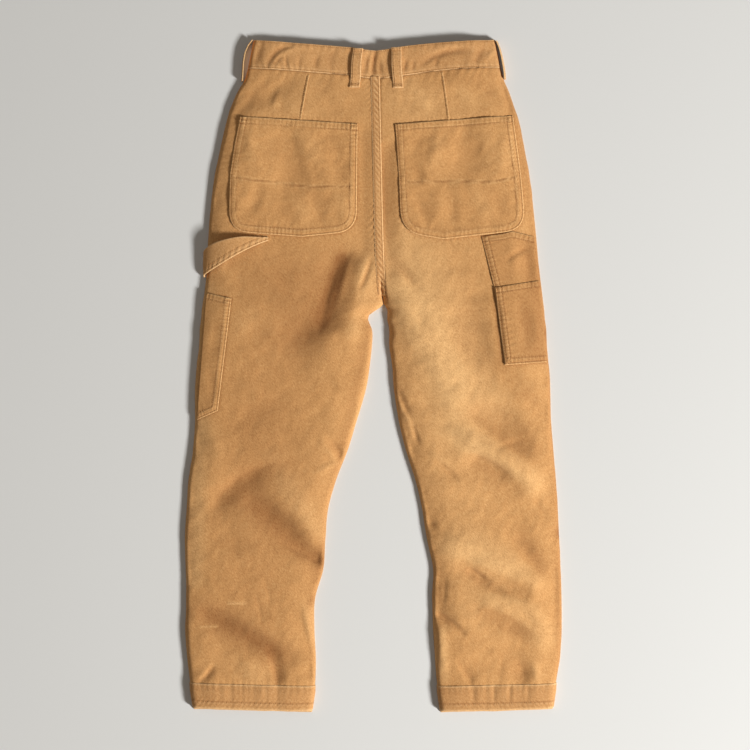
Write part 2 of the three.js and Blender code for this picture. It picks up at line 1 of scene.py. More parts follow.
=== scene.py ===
import bpy
import numpy as np
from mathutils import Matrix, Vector


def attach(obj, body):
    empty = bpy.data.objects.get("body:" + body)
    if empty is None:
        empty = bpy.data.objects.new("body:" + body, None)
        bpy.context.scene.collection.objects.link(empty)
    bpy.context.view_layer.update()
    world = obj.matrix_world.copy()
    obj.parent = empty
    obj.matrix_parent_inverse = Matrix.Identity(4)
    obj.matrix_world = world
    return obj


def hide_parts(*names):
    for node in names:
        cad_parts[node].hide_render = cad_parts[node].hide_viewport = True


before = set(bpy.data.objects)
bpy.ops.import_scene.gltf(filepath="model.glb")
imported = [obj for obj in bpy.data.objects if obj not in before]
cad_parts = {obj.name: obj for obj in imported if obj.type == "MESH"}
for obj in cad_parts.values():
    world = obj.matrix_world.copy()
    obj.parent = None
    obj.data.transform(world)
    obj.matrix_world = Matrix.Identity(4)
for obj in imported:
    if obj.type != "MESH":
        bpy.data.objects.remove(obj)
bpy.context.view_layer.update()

# The floor, the light and the camera.
# The garment lies flat on a pale floor and is seen from straight above. A soft lamp stands to the
# right and towards the hems, so the folds shade away to the left and towards the waist. A weak one
# above and the warm light of the room fill the shade. Sizes are millimetres, but a lamp's are metres.
mm = 0.001
view_middle = (4.35, -0.7)
view_width = 1087.5
camera_height = 2200
cloth_height = 14
sensor = 36
camera_data = bpy.data.cameras.new("camera")
camera_data.sensor_width = sensor
camera_data.lens = sensor * (camera_height - cloth_height) / view_width
camera = bpy.data.objects.new("camera", camera_data)
camera.location = (view_middle[0] * mm, view_middle[1] * mm, camera_height * mm)
bpy.context.collection.objects.link(camera)
bpy.context.scene.camera = camera


def lamp(name, place, size, power, colour):
    """A square soft lamp that looks at the middle of the garment."""
    data = bpy.data.lights.new(name, "AREA")
    data.size = size
    data.energy = power
    data.color = colour
    light = bpy.data.objects.new(name, data)
    light.location = place
    light.rotation_euler = (-Vector(place)).to_track_quat("-Z", "Y").to_euler()
    bpy.context.collection.objects.link(light)


lamp("lamp_right", (4.1, -2.4, 2.9), 1.0, 520, (1.0, 1.0, 0.985))
lamp("lamp_above", (-0.5, 0.9, 2.6), 2.4, 8, (0.96, 0.98, 1.0))

world = bpy.data.worlds.new("studio")
bpy.context.scene.world = world
world.use_nodes = True
room_light = world.node_tree.nodes["Background"].inputs
room_light["Color"].default_value = (1.0, 0.84, 0.66, 1)
room_light["Strength"].default_value = 0.15
bpy.context.scene.view_settings.view_transform = "Standard"

floor_half = 4
floor_mesh = bpy.data.meshes.new("floor")
floor_corners = [(x * floor_half, y * floor_half, 0) for x, y in ((-1, -1), (1, -1), (1, 1), (-1, 1))]
floor_mesh.from_pydata(floor_corners, [], [(0, 1, 2, 3)])
floor = bpy.data.objects.new("floor", floor_mesh)
bpy.context.collection.objects.link(floor)
floor_paint = bpy.data.materials.new("pale_floor")
floor_paint.use_nodes = True
floor_shader = floor_paint.node_tree.nodes["Principled BSDF"]
floor_shader.inputs["Base Color"].default_value = (0.62, 0.62, 0.61, 1)
floor_shader.inputs["Roughness"].default_value = 0.95
floor_mesh.materials.append(floor_paint)

# The cloth.
# A washed cotton canvas in a warm tan, dyed in the piece, so that it is paler where seams and edges are
# abraded. Its creases, grooves and hollows get painted shade in the deep colour, and some crests and
# broad parts get painted light in the pale one. Doubled pieces rub more and are a little paler.
canvas_colours = {
    "Cloth": (0.545, 0.275, 0.098), "Worn And Painted Light": (0.80, 0.495, 0.218), "Deep Dye And Painted Shade": (0.23, 0.088, 0.024),
}
trim_colours = {
    "Cloth": (0.565, 0.292, 0.110), "Worn And Painted Light": (0.82, 0.525, 0.255), "Deep Dye And Painted Shade": (0.25, 0.098, 0.028),
}
thread_pitch = 0.9 * mm
weave_relief = 0.22 * mm


def put(tree, kind, links=(), **settings):
    """A node with its settings, and its inputs as numbers or as the sockets that feed them."""
    node = tree.nodes.new(kind)
    for name, value in settings.items():
        setattr(node, name, value)
    for socket, value in links:
        if isinstance(value, bpy.types.NodeSocket):
            tree.links.new(value, node.inputs[socket])
        else:
            node.inputs[socket].default_value = value
    return node


def calculate(tree, operation, first, second=0.0):
    """One step of arithmetic on values."""
    return put(tree, "ShaderNodeMath", [(0, first), (1, second)], operation=operation).outputs[0]


def blend(tree, share, first, second):
    """A mix of two colours."""
    return put(tree, "ShaderNodeMix", [(0, share), (6, first), (7, second)], data_type="RGBA").outputs[2]


def add_sockets(tree, way, kinds):
    """The named sockets that a node group takes in or puts out."""
    for name, kind in kinds.items():
        tree.interface.new_socket(name, in_out=way, socket_type=f"NodeSocket{kind}")


def washed_canvas():
    """The dye and the weave, with each piece's abraded places, painted light and painted shade."""
    group = bpy.data.node_groups.new("washed_canvas", "ShaderNodeTree")
    add_sockets(group, "INPUT", {"Cloth": "Color", "Worn And Painted Light": "Color", "Deep Dye And Painted Shade": "Color", "Mottle": "Float",
                                 "Thread Pitch": "Float"})
    add_sockets(group, "OUTPUT", {"Color": "Color", "Height": "Float"})
    given = put(group, "NodeGroupInput").outputs
    place = put(group, "ShaderNodeTexCoord").outputs["Object"]

    def uneven(scale, detail, at=place):
        inputs = [("Vector", at), ("Scale", scale), ("Detail", detail)]
        return put(group, "ShaderNodeTexNoise", inputs).outputs[0]

    def times(first, second):
        return calculate(group, "MULTIPLY", first, second)

    def plus(first, second):
        return calculate(group, "ADD", first, second)

    # Broad and cloudy differences of the dye, flecks of nap, and slubs that slant with the twill.
    slanting = put(group, "ShaderNodeMapping", [("Vector", place), ("Rotation", (0, 0, -0.95)),
                                                ("Scale", (3.5, 1, 1))], vector_type="TEXTURE").outputs[0]
    fleck = uneven(640, 2)
    clouds = plus(times(uneven(7, 2), 0.3), times(uneven(38, 4), 0.12))
    grain = plus(times(fleck, 0.8), times(uneven(980, 2, slanting), 1.4))
    usual_sum = 1.31
    dyed = times(calculate(group, "SUBTRACT", plus(clouds, grain), usual_sum), given["Mottle"])
    pale = calculate(group, "MAXIMUM", dyed, 0.0)
    dark = calculate(group, "MAXIMUM", times(dyed, -1.0), 0.0)
    # The first attribute holds abraded places and painted light. The second holds painted shade. Both lie
    # over the dyed colour.
    rubbed_and_painted_light = put(group, "ShaderNodeAttribute", attribute_name="wear_and_painted_light").outputs["Fac"]
    rubbed_and_painted_light = times(rubbed_and_painted_light, plus(times(fleck, 0.9), 0.5))
    creased = put(group, "ShaderNodeAttribute", attribute_name="painted_shade").outputs["Fac"]
    colour = blend(group, plus(pale, rubbed_and_painted_light), given["Cloth"], given["Worn And Painted Light"])
    colour = blend(group, plus(dark, creased), colour, given["Deep Dye And Painted Shade"])

    # The slanting ribs of the twill, with the weft's picks between them.
    across, along = put(group, "ShaderNodeSeparateXYZ", [(0, place)]).outputs[:2]
    full_turn = 6.2832
    turns = calculate(group, "DIVIDE", full_turn, given["Thread Pitch"])
    twill = calculate(group, "SINE", times(plus(across, times(along, 0.62)), turns))
    pick = calculate(group, "SINE", times(along, turns))
    height = plus(plus(times(twill, 0.3), times(pick, 0.15)), fleck)
    put(group, "NodeGroupOutput", [("Color", colour), ("Height", height)])
    return group


canvas_group = washed_canvas()


def cloth_material(name, colours, mottle=1.0):
    """A matt cotton with a little nap, from the shared dye and weave."""
    material = bpy.data.materials.new(name)
    material.use_nodes = True
    tree = material.node_tree
    shader = tree.nodes["Principled BSDF"]
    dye = put(tree, "ShaderNodeGroup", node_tree=canvas_group)
    for socket, colour in colours.items():
        dye.inputs[socket].default_value = (*colour, 1)
    dye.inputs["Mottle"].default_value = mottle
    dye.inputs["Thread Pitch"].default_value = thread_pitch
    bump = put(tree, "ShaderNodeBump", [("Strength", 0.35), ("Distance", weave_relief),
                                        ("Height", dye.outputs["Height"])])
    tree.links.new(dye.outputs["Color"], shader.inputs["Base Color"])
    tree.links.new(bump.outputs["Normal"], shader.inputs["Normal"])
    for socket, value in (("Roughness", 0.88), ("Specular IOR Level", 0.22), ("Sheen Weight", 0.10),
                          ("Sheen Roughness", 0.45)):
        shader.inputs[socket].default_value = value
    return material


canvas = cloth_material("canvas", canvas_colours)
trim = cloth_material("canvas_trim", trim_colours)

# The two legs' shape.
# Each leg is a flattened tube. The front lies on the floor, and the back rises from the side seam in
# a rolled edge and then a crown of trapped air, with the main folds pressed into it.
cloth = 1.5
seam_gap = 0.3
# The rolled edge's height and reach, and the reach of the crown's rise.
roll_height, roll_reach, crown_reach = 6.35, 6.5, 45
# Levels along the garment. The legs' inner edges stop rolling a little above the crotch, and the
# levels by the waist and the hems are bent to meet the curved waist seam and the slanted hems.
waist_level, crotch_level, crotch_blend, waist_blend_start = 446, 103, 48, 370
cuff_level, hem_blend_start, hem_lift_start, leg_end = -449, -400, -425, -483
hem_lift = 2.0

# Level, left outer edge, left inner edge, right inner edge, right outer edge, crown.
leg_rows = np.array([
    (446, -181, 4, 4, 187.5, 6), (430, -186, 4.5, 4.5, 192, 6.5), (413, -195.5, 5, 5, 199.5, 7),
    (391, -205.5, 5.5, 5.5, 207, 7.5), (370, -212, 6, 6, 214, 8), (326, -222, 7, 7, 223, 8),
    (280, -231, 8, 8, 231, 8), (236, -236, 9, 9, 236, 8), (195, -239, 10, 10, 240, 8),
    (150, -241, 12, 12, 244, 8), (120, -244, 14, 14, 248, 8.5), (103, -247, 17, 17, 250, 9),
    (96, -248, 10, 22, 251, 9), (89, -248.5, -2, 22.5, 251.5, 9), (82, -249, -6, 22, 252, 9),
    (65, -251, 0, 25, 254, 9), (43, -252, 0, 25, 255, 8.5), (10, -256, -4, 30, 258, 8),
    (-22, -258, -9, 32, 260, 8), (-66, -258, -22, 39, 261, 8), (-109, -261, -35, 49, 264.5, 8),
    (-153, -267, -52, 63, 268, 8), (-196, -270, -64, 73, 271, 8), (-240, -273, -68, 80, 273, 8),
    (-283, -271.5, -71, 89, 275, 7.5), (-327, -271, -83, 88, 276.5, 7), (-370, -272, -84, 89, 276.5, 6.5),
    (-414, -269.5, -82, 92, 274, 5.5), (-449, -265, -83, 95, 268, 4.5), (-483, -260, -88, 100, 263, 4),
])
# Place across the back, lower seam of the waistband, top edge of the waistband.
waist_rows = np.array([
    (-181, 445, 487), (-110, 440, 481), (-30, 433, 474.5), (5, 429, 470), (44, 433, 476), (103, 441, 482),
    (188, 446, 487),
])
# The largest folds: from x, y to x, y, width, height.
folds = [
    (-13, 350, -12, 185, 11, -1.8), (23, 326, 26, 150, 11, -2.6), (-200, 378, -122, 428, 14, -2.2),
    (-119, 330, -117, 282, 24, -2.8), (135, 352, 138, 308, 22, -2.4), (-31, 168, -60, 78, 15, -5),
    (-12, 155, -30, 62, 14, 2.6), (-40, 100, -104, 44, 30, -3), (-222, -175, -172, -148, 18, -3),
    (-170, -182, -78, -276, 17, -4.2), (-140, -135, -82, -232, 20, 2.4), (-240, -356, -119, -412, 16, -3.2),
    (222, 186, 231, 132, 11, -2.2), (142, -100, 232, -158, 18, 3.2), (150, -132, 205, -162, 15, -2.8),
    (115, -252, 234, -298, 16, 2.8), (132, -282, 214, -312, 14, -2.8), (172, -334, 248, -384, 17, 2.8),
    (100, -290, 102, -352, 13, -2.6),
]


def mix(first, second, share):
    """A value between two others."""
    return first + (second - first) * share


def smooth(start, end, value):
    """From 0 to 1 in a soft step."""
    t = np.clip((value - start) / (end - start), 0, 1)
    return t * t * (3 - 2 * t)


def curve_through(at, value):
    """A smooth curve through the rows of a table."""
    order = np.argsort(at)
    at, value = np.asarray(at, float)[order], np.asarray(value, float)[order]
    slope = np.empty(len(at))
    slope[1:-1] = (value[2:] - value[:-2]) / (at[2:] - at[:-2])
    slope[0] = (value[1] - value[0]) / (at[1] - at[0])
    slope[-1] = (value[-1] - value[-2]) / (at[-1] - at[-2])

    def curve(place):
        here = np.clip(place, at[0], at[-1])
        i = np.clip(np.searchsorted(at, here, side="right") - 1, 0, len(at) - 2)
        span = at[i + 1] - at[i]
        t = (here - at[i]) / span
        return ((2 * t ** 3 - 3 * t ** 2 + 1) * value[i] + (t ** 3 - 2 * t ** 2 + t) * span * slope[i]
                + (3 * t ** 2 - 2 * t ** 3) * value[i + 1] + (t ** 3 - t ** 2) * span * slope[i + 1])

    return curve


above_crotch = leg_rows[leg_rows[:, 0] >= crotch_level]
below_crotch = leg_rows[leg_rows[:, 0] <= crotch_level]
centre_seam = curve_through(above_crotch[:, 0], above_crotch[:, 2])
crown = curve_through(leg_rows[:, 0], leg_rows[:, 5])
waist_seam = curve_through(waist_rows[:, 0], waist_rows[:, 1])
waist_top = curve_through(waist_rows[:, 0], waist_rows[:, 2])
# Which way is inwards, and how far the hem's outer and inner ends lie off its level.
legs = {
    "left": {"inward": 1, "outer": curve_through(leg_rows[:, 0], leg_rows[:, 1]),
             "inner": curve_through(below_crotch[:, 0], below_crotch[:, 2]), "drop": (1.5, -3.5)},
    "right": {"inward": -1, "outer": curve_through(leg_rows[:, 0], leg_rows[:, 4]),
              "inner": curve_through(below_crotch[:, 0], below_crotch[:, 3]), "drop": (0.5, -3.5)},
}


def rolled(distance):
    """The rolled edge's rise, from 0 at the seam to 1."""
    return np.sqrt(1 - (1 - np.clip(distance / roll_reach, 0, 1)) ** 2)


def crowned(distance):
    """The trapped air's rise, from 0 at the seam to 1."""
    return 1 - (1 - np.clip(distance / crown_reach, 0, 1)) ** 2


def inner_edge(side, level):
    """A leg's inner edge. Above the crotch the two meet in the centre seam."""
    leg = legs[side]
    meeting = centre_seam(level) - leg["inward"] * seam_gap / 2
    return np.where(level > crotch_level, meeting, leg["inner"](level))


def hem_rise(level):
    """How far the leg's end is lifted by the cuff under it."""
    return hem_lift * smooth(hem_lift_start, cuff_level, level)


def fold_height(x, y, rows=folds):
    """Soft troughs and ridges, from rows like those of the main folds."""
    height = np.zeros(np.shape(x))
    for x1, y1, x2, y2, width, depth in rows:
        dx, dy = x2 - x1, y2 - y1
        t = np.clip(((x - x1) * dx + (y - y1) * dy) / (dx ** 2 + dy ** 2), 0, 1)
        height += depth * np.exp(-((x - x1 - t * dx) ** 2 + (y - y1 - t * dy) ** 2) / width ** 2)
    return height


def back_height(x, level, from_outer, from_inner):
    """The outside of a back with its main folds and nothing finer."""
    together = smooth(crotch_level, crotch_level + crotch_blend, level)
    edge = rolled(from_outer) * mix(rolled(from_inner), 1, together)
    swell = crowned(from_outer) * mix(crowned(from_inner), 1, together)
    air = crown(level) + fold_height(x, level)
    return cloth + seam_gap + hem_rise(level) + roll_height * edge + air * swell


def waist_shift(x, level):
    """How far a level is moved towards the hems to meet the curved waist seam."""
    return (waist_seam(x) - waist_level) * smooth(waist_blend_start, waist_level, level)


def hem_shift(side, share, level):
    """How far a level is moved along to meet the slanted hem."""
    return mix(*legs[side]["drop"], share) * smooth(hem_blend_start, cuff_level, level)


def back_at(side, x, y):
    """The plain outside of a back at any place on it, once a few rounds have found the place's level."""
    level = y
    for _ in range(3):
        outer = legs[side]["outer"](level)
        width = np.abs(inner_edge(side, level) - outer)
        share = np.clip(np.abs(x - outer) / width, 0, 1)
        level = y - waist_shift(x, level) - hem_shift(side, share, level)
    from_outer = np.maximum((x - outer) * legs[side]["inward"], 0)
    return back_height(x, level, from_outer, np.maximum(width - from_outer, 0))


# The fine creases and puckers of washed canvas.
# Washing shrinks the thread more than the cloth, so the cloth puckers along each row of sewing, and
# it keeps soft lumps and some short creases from lying folded.
def bell(distance, width):
    """A soft rise to 1 where the distance is 0. At this width it is down to about a third."""
    return np.exp(-(distance / width) ** 2)


def soft_noise(x, y, size, seed, repeat=61):
    """Soft lumps about this many millimetres across, from -1 to 1, turned so that no grid shows."""
    table = np.random.default_rng(seed).uniform(-1, 1, (repeat, repeat))
    total = np.zeros(np.broadcast(x, y).shape)
    for turn, weight in ((0.5, 0.6), (1.9, 0.6)):
        u = (x * np.cos(turn) + y * np.sin(turn)) / size + 200
        v = (y * np.cos(turn) - x * np.sin(turn)) / size + 200
        i, j = np.floor(u).astype(int), np.floor(v).astype(int)
        s, t = smooth(0, 1, u - i), smooth(0, 1, v - j)
        corner = [[table[(i + a) % repeat, (j + b) % repeat] for a in (0, 1)] for b in (0, 1)]
        low, high = mix(*corner[0], s), mix(*corner[1], s)
        total += weight * mix(low, high, t)
        table = table.T[::-1]
    return total


def pucker(along, wave, seed):
    """Uneven waves along a row of sewing, from -1 to 1."""
    wander = soft_noise(along, 0.0, 3.1 * wave, seed)
    strength = 0.62 + 0.5 * soft_noise(along, 40.0, 5.3 * wave, seed + 1)
    return np.sin(2 * np.pi * (along / wave + 0.55 * wander)) * strength


def near_line(x, y, line):
    """How far each place is from a line of points, and how far along it the nearest point lies."""
    distance, along = np.full(np.shape(x), 1e6), np.zeros(np.shape(x))
    walked = 0.0
    for (x1, y1), (x2, y2) in zip(line[:-1], line[1:]):
        dx, dy = x2 - x1, y2 - y1
        length = max(np.hypot(dx, dy), 1e-6)
        t = np.clip(((x - x1) * dx + (y - y1) * dy) / length ** 2, 0, 1)
        here = np.hypot(x - x1 - t * dx, y - y1 - t * dy)
        closer = here < distance
        distance, along = np.where(closer, here, distance), np.where(closer, walked + t * length, along)
        walked += length
    return distance, along


def inside(x, y, outline):
    """Which places are inside a closed outline."""
    within = np.zeros(np.shape(x), bool)
    for (x1, y1), (x2, y2) in zip(outline, np.roll(outline, -1, axis=0)):
        crosses = (y1 > y) != (y2 > y)
        within ^= crosses & (x < x1 + (x2 - x1) * (y - y1) / (y2 - y1 + 1e-9))
    return within


# From x, y to x, y, how far the middle bows to the left of that way, width on the left and on the
# right of it, height. A narrow side is a sharp one.
creases = [
    (-46, 174, -76, 70, -3, 8, 22, -3.0), (-76, 160, -108, 62, -4, 24, 56, -1.5),
    (-26, 178, -52, 84, -2, 13, 6, 1.5), (-46, 88, -64, 44, 0, 12, 13, 1.1),
    (-2, 166, -17, 124, 1, 4, 3, -1.3), (-60, 70, -136, 50, -6, 24, 20, -0.6),
    (-14, 122, -22, 100, 0, 2.5, 2, -0.3), (-61, -95, -42, -125, 2, 4, 7, -1.7),
    (-72, -100, -50, -130, 2, 6, 4, 0.6), (-80, -142, -47, -127, 1, 5, 5, 0.6),
    (-238, -206, -124, -129, 18, 8, 20, -1.1), (-196, -176, -84, -256, 4, 18, 24, -1.0),
    (-126, -248, -70, -276, 1, 12, 4, -1.7), (-118, -266, -71, -287, 1, 3.5, 10, 0.9),
    (-184, -378, -132, -414, 5, 14, 9, -1.4), (-148, -404, -137, -449, 2, 11, 5, -2.0),
    (-190, -418, -164, -446, 3, 22, 18, 0.9), (-231, -424, -250, -446, 1, 7, 3, -1.2),
    (-99, -328, -82, -398, -3, 13, 5, 1.1), (-171, -315, -160, -362, 2, 3, 3, -0.35),
    (-156, -296, -148, -332, 1, 3, 2.4, -0.3), (-254, -340, -180, -374, 3, 13, 11, -1.3),
    (-240, -60, -226, -130, 4, 10, 14, 0.5), (-200, 60, -150, 96, 5, 18, 14, 0.7),
    (-120, -40, -190, -70, -6, 20, 15, -0.6), (-232, -238, -186, -262, 4, 14, 10, -0.6),
    (-228, 206, -216, 150, 3, 8, 6, 0.5), (-246, 250, -232, 208, 2, 6, 5, -0.6),
    (22, 130, 124, -46, 8, 32, 20, 1.1), (144, 122, 160, 14, -4, 20, 28, -0.9),
    (60, 92, 76, 72, 1, 7, 6, -0.6), (34, -20, 52, -60, 2, 5, 4, -0.7), (42, -46, 60, -86, 2, 3, 5, 0.7),
    (54, -68, 68, -100, 1, 3, 4, -0.7), (138, -50, 228, -116, 4, 24, 9, -1.7),
    (116, -84, 236, -156, 5, 12, 9, 1.4), (146, -118, 196, -146, 2, 6, 10, -1.3),
    (96, -128, 122, -150, 1, 5, 4, -0.6), (88, -116, 118, -140, 1, 5, 4, 0.4),
    (74, -205, 92, -226, 1, 7, 6, -0.5), (206, -232, 246, -284, 2, 16, 11, -0.7),
    (120, -236, 214, -282, 4, 22, 9, 0.7), (138, -281, 166, -300, 1, 4, 9, -1.4),
    (160, -298, 196, -320, 1, 4, 9, -0.8), (172, -316, 254, -366, 8, 11, 8, 1.0),
    (158, -342, 226, -376, 3, 9, 14, -1.2), (90, -347, 132, -374, 2, 5, 4, -1.2),
    (98, -362, 104, -440, 0, 8, 10, 0.7), (106, -298, 104, -338, 0, 3, 3, -0.22),
    (86, -286, 98, -344, 3, 8, 7, -0.5), (127, -420, 145, -448, 1, 8, 4, -0.6),
    (212, -414, 222, -449, 1, 7, 12, -0.8), (232, -416, 240, -446, 1, 8, 6, 0.6),
    (186, -446, 190, -404, 0, 4, 3, -0.12), (176, -110, 214, -96, 1, 4, 5, -0.3),
    (212, -20, 246, -60, 4, 14, 10, -0.5), (236, -182, 252, -206, 1, 5, 5, -0.5),
    (110, 60, 160, 20, 6, 18, 14, -0.4), (189, 428, 203, 380, 3, 8, 6, -1.2),
    (176, 112, 188, 20, 0, 4, 3, -0.7), (15, 330, 20, 172, -1, 6, 4, -0.6),
    (44, 300, 46, 186, 1, 12, 9, 0.4), (27, 166, 62, 128, 3, 9, 6, -0.9),
    (-28, 300, -22, 206, 1, 6, 9, -0.5), (60, 412, 82, 384, 2, 9, 7, 0.4),
    (-60, 412, -44, 380, 2, 10, 8, 0.4), (-196, 376, -150, 430, 4, 9, 8, -0.7),
    (-144, 384, -134, 412, 1, 4, 6, 0.6), (-206, 372, -178, 404, 3, 6, 7, 0.4),
    (-122, 390, -86, 378, -3, 8, 9, 0.3), (-80, 418, -50, 376, 3, 12, 9, -0.4),
    (30, 420, 60, 372, 5, 12, 10, -0.3), (120, 420, 150, 380, 3, 12, 10, 0.4),
    (150, 426, 186, 392, 4, 10, 8, -0.4),
]


def crease_height(x, y, rows):
    """Short creases: each bows a little, fades to its ends and may be sharper on one side."""
    height = np.zeros(np.shape(x))
    for x1, y1, x2, y2, bow, left_width, right_width, depth in rows:
        length = np.hypot(x2 - x1, y2 - y1)
        ux, uy = (x2 - x1) / length, (y2 - y1) / length
        walked = (x - x1) * ux + (y - y1) * uy
        share = np.clip(walked / length, 0, 1)
        off = (y - y1) * ux - (x - x1) * uy - bow * 4 * share * (1 - share)
        width = np.where(off > 0, left_width, right_width)
        beyond = (walked - share * length) / (0.5 * (left_width + right_width))
        fade = 1 - 0.65 * np.abs(2 * share - 1) ** 2.5
        height += depth * fade * np.exp(-(off / width) ** 2 - beyond ** 2)
    return height


# Where the patch pockets and tool pockets are sewn on, marked on the panels first: x, y, how far a
# corner is rounded, and the side that starts there.
outlines = {
    "back_pocket_left": [
        (-191, 374, 0, "top"), (-21, 363, 0, "right"), (-22.5, 207.5, 30, "bottom"), (-101.5, 199.5, 0, ""),
        (-207.5, 207.5, 30, "left"), (-206, 289, 0, ""), (-199.5, 333, 0, "")],
    "back_pocket_right": [
        (33.5, 362.5, 0, "top"), (204.5, 375.5, 0, "right"), (216, 290.5, 0, ""),
        (223, 209.5, 32, "bottom"), (103.5, 196, 0, ""), (42, 206.5, 32, "left"), (38.5, 290.5, 0, "")],
    "tool_pocket_left": [
        (-240, 118.5, 0, "top"), (-203.5, 110, 0, "right"), (-223.5, -52.5, 0, "bottom"),
        (-254, -66, 0, "left")],
    "tool_pocket_right": [
        (158.5, 200, 0, "top"), (188, 203.5, 0, ""), (203, 207.5, 0, ""), (234, 200.5, 0, "right"),
        (243, 137, 0, ""), (254, 18, 0, "bottom"), (192, 13.5, 0, "left"), (177, 126, 0, "")],
    "tool_pocket_right_small": [
        (178, 126, 0, "top"), (242.5, 136.5, 0, "right"), (253.5, 18.5, 0, "bottom"), (193, 14, 0, "left")],
}


def piece_sides(corners):
    """The four sides of a sewn-on piece. A rounded corner belongs to its bottom."""
    sides, current = {}, None
    for i, (x, y, round_by, side) in enumerate(corners):
        here = np.array([x, y], float)
        beside = (np.array(corners[(i + step) % len(corners)][:2]) - here for step in (-1, 1))
        start, end = (here + way * round_by / np.linalg.norm(way) for way in beside)
        t = np.linspace(0, 1, 13 if round_by else 1)[:, None]
        arc = list((1 - t) ** 2 * start + 2 * t * (1 - t) * here + t ** 2 * end)
        if not side:
            sides[current] += arc
            continue
        if current and side == "left":
            sides[current] += arc
            arc = arc[-1:]
        elif current:
            sides[current].append(arc[0])
        sides[side], current = arc, side
    sides["left"].append(sides["top"][0])
    return {name: np.array(points) for name, points in sides.items()}


patches = {name: piece_sides(corners) for name, corners in outlines.items()}
for sides in patches.values():
    sewn = [sides[side][:-1] for side in ("right", "bottom", "left")]
    sides["sewn"] = np.concatenate(sewn + [sides["top"][:1]])
    sides["outline"] = np.concatenate([sides["top"][:-1]] + sewn)
# Painted light and shade over broad parts of the backs, and two pale sewn lines on the left calf: from x, y
# to x, y, width, how much paler. Below 0 it is painted shade.
painted_light_and_shade = [
    (-44, 166, -70, 80, 9.5, -0.90), (12, 130, 21, 106, 6, -0.35), (-60, 140, -92, 60, 28, -0.20),
    (-150, 130, -160, -60, 62, -0.20), (-150, -150, -180, -360, 62, -0.22),
    (-250, -344, -150, -400, 16, -0.18), (-146, -404, -136, -446, 10, -0.20),
    (-196, -176, -84, -262, 18, -0.06), (-209, -331, -183, -331.5, 1.6, 0.9),
    (-248, -366, -225, -365.5, 1.6, 0.9), (56, 150, 140, -40, 62, 0.36), (110, -110, 150, -330, 50, 0.12),
    (209, 420, 258, 60, 9, -0.42), (258, 60, 274, -230, 9, -0.50), (274, -230, 274, -440, 9, -0.44),
    (0, 84, -44, -110, 8, -0.30), (-48, -130, -86, -330, 8, -0.28), (-86, -330, -86, -440, 8, -0.20),
    (-240, 120, -256, -300, 14, 0.30), (180, 250, 60, 400, 60, 0.20), (-100, 410, -190, 250, 50, 0.10),
    (216, -232, 246, -280, 12, -0.12), (182, 110, 190, 20, 9, -0.30), (190, 8, 222, -30, 18, -0.16),
    (150, -62, 214, -106, 15, -0.16), (126, -94, 230, -154, 10, 0.16), (110, -250, 214, -286, 16, 0.16),
    (166, -346, 226, -378, 12, -0.12), (132, -384, 200, -420, 22, -0.08), (104, -372, 106, -440, 8, 0.18),
    (80, 430, 180, 434, 14, -0.12),
]
patches_on = {
    "left": ["back_pocket_left", "tool_pocket_left"],
    "right": ["back_pocket_right", "tool_pocket_right"],
}
seam_strip = {"half": 6.5, "end": 116, "top": 432}
# How strongly the creases of the table lie on each leg, which way its cloth was drawn in the wash, in
# radians, and how lumpy it is.
cloth_feel = {"left": (2.1, -0.6, 0.8), "right": (3.3, -0.4, 0.95)}
# Lumps of the washed cloth: their size and height. The drawn ones are longer the way they were drawn.
lump_sizes = {"broad": (56, 1.5), "drawn": (18, 1.5), "small": (10, 0.55), "smallest": (5, 0.16)}
drawn_longer = 2.2
# Sewing draws the cloth beside it in waves: their length, height and reach, and, but for the cuffs, the
# strength of the painted shadow line along the seam. The two heights at the patches are those by a back
# pocket and a tool pocket.
waist_sewing = (13.5, 0.42, 14, 0.55)
seam_sewing = (8.6, 0.40, 9, 0.30)
cuff_sewing = (8.8, 0.22, 10)
patch_sewing = (7.6, (0.40, 0.15), 8, 0.26)
under_patch = -0.9


def lumpy(side, x, y):
    """The lumps that the wash leaves in a back."""
    _, drawn, height = cloth_feel[side]
    along, across = x * np.cos(drawn) + y * np.sin(drawn), y * np.cos(drawn) - x * np.sin(drawn)
    total = 0
    for seed, (kind, (size, rise)) in enumerate(lump_sizes.items(), 11):
        u, v = (along / drawn_longer, across) if kind == "drawn" else (x, y)
        total = total + rise * soft_noise(u, v, size, seed)
    return height * total


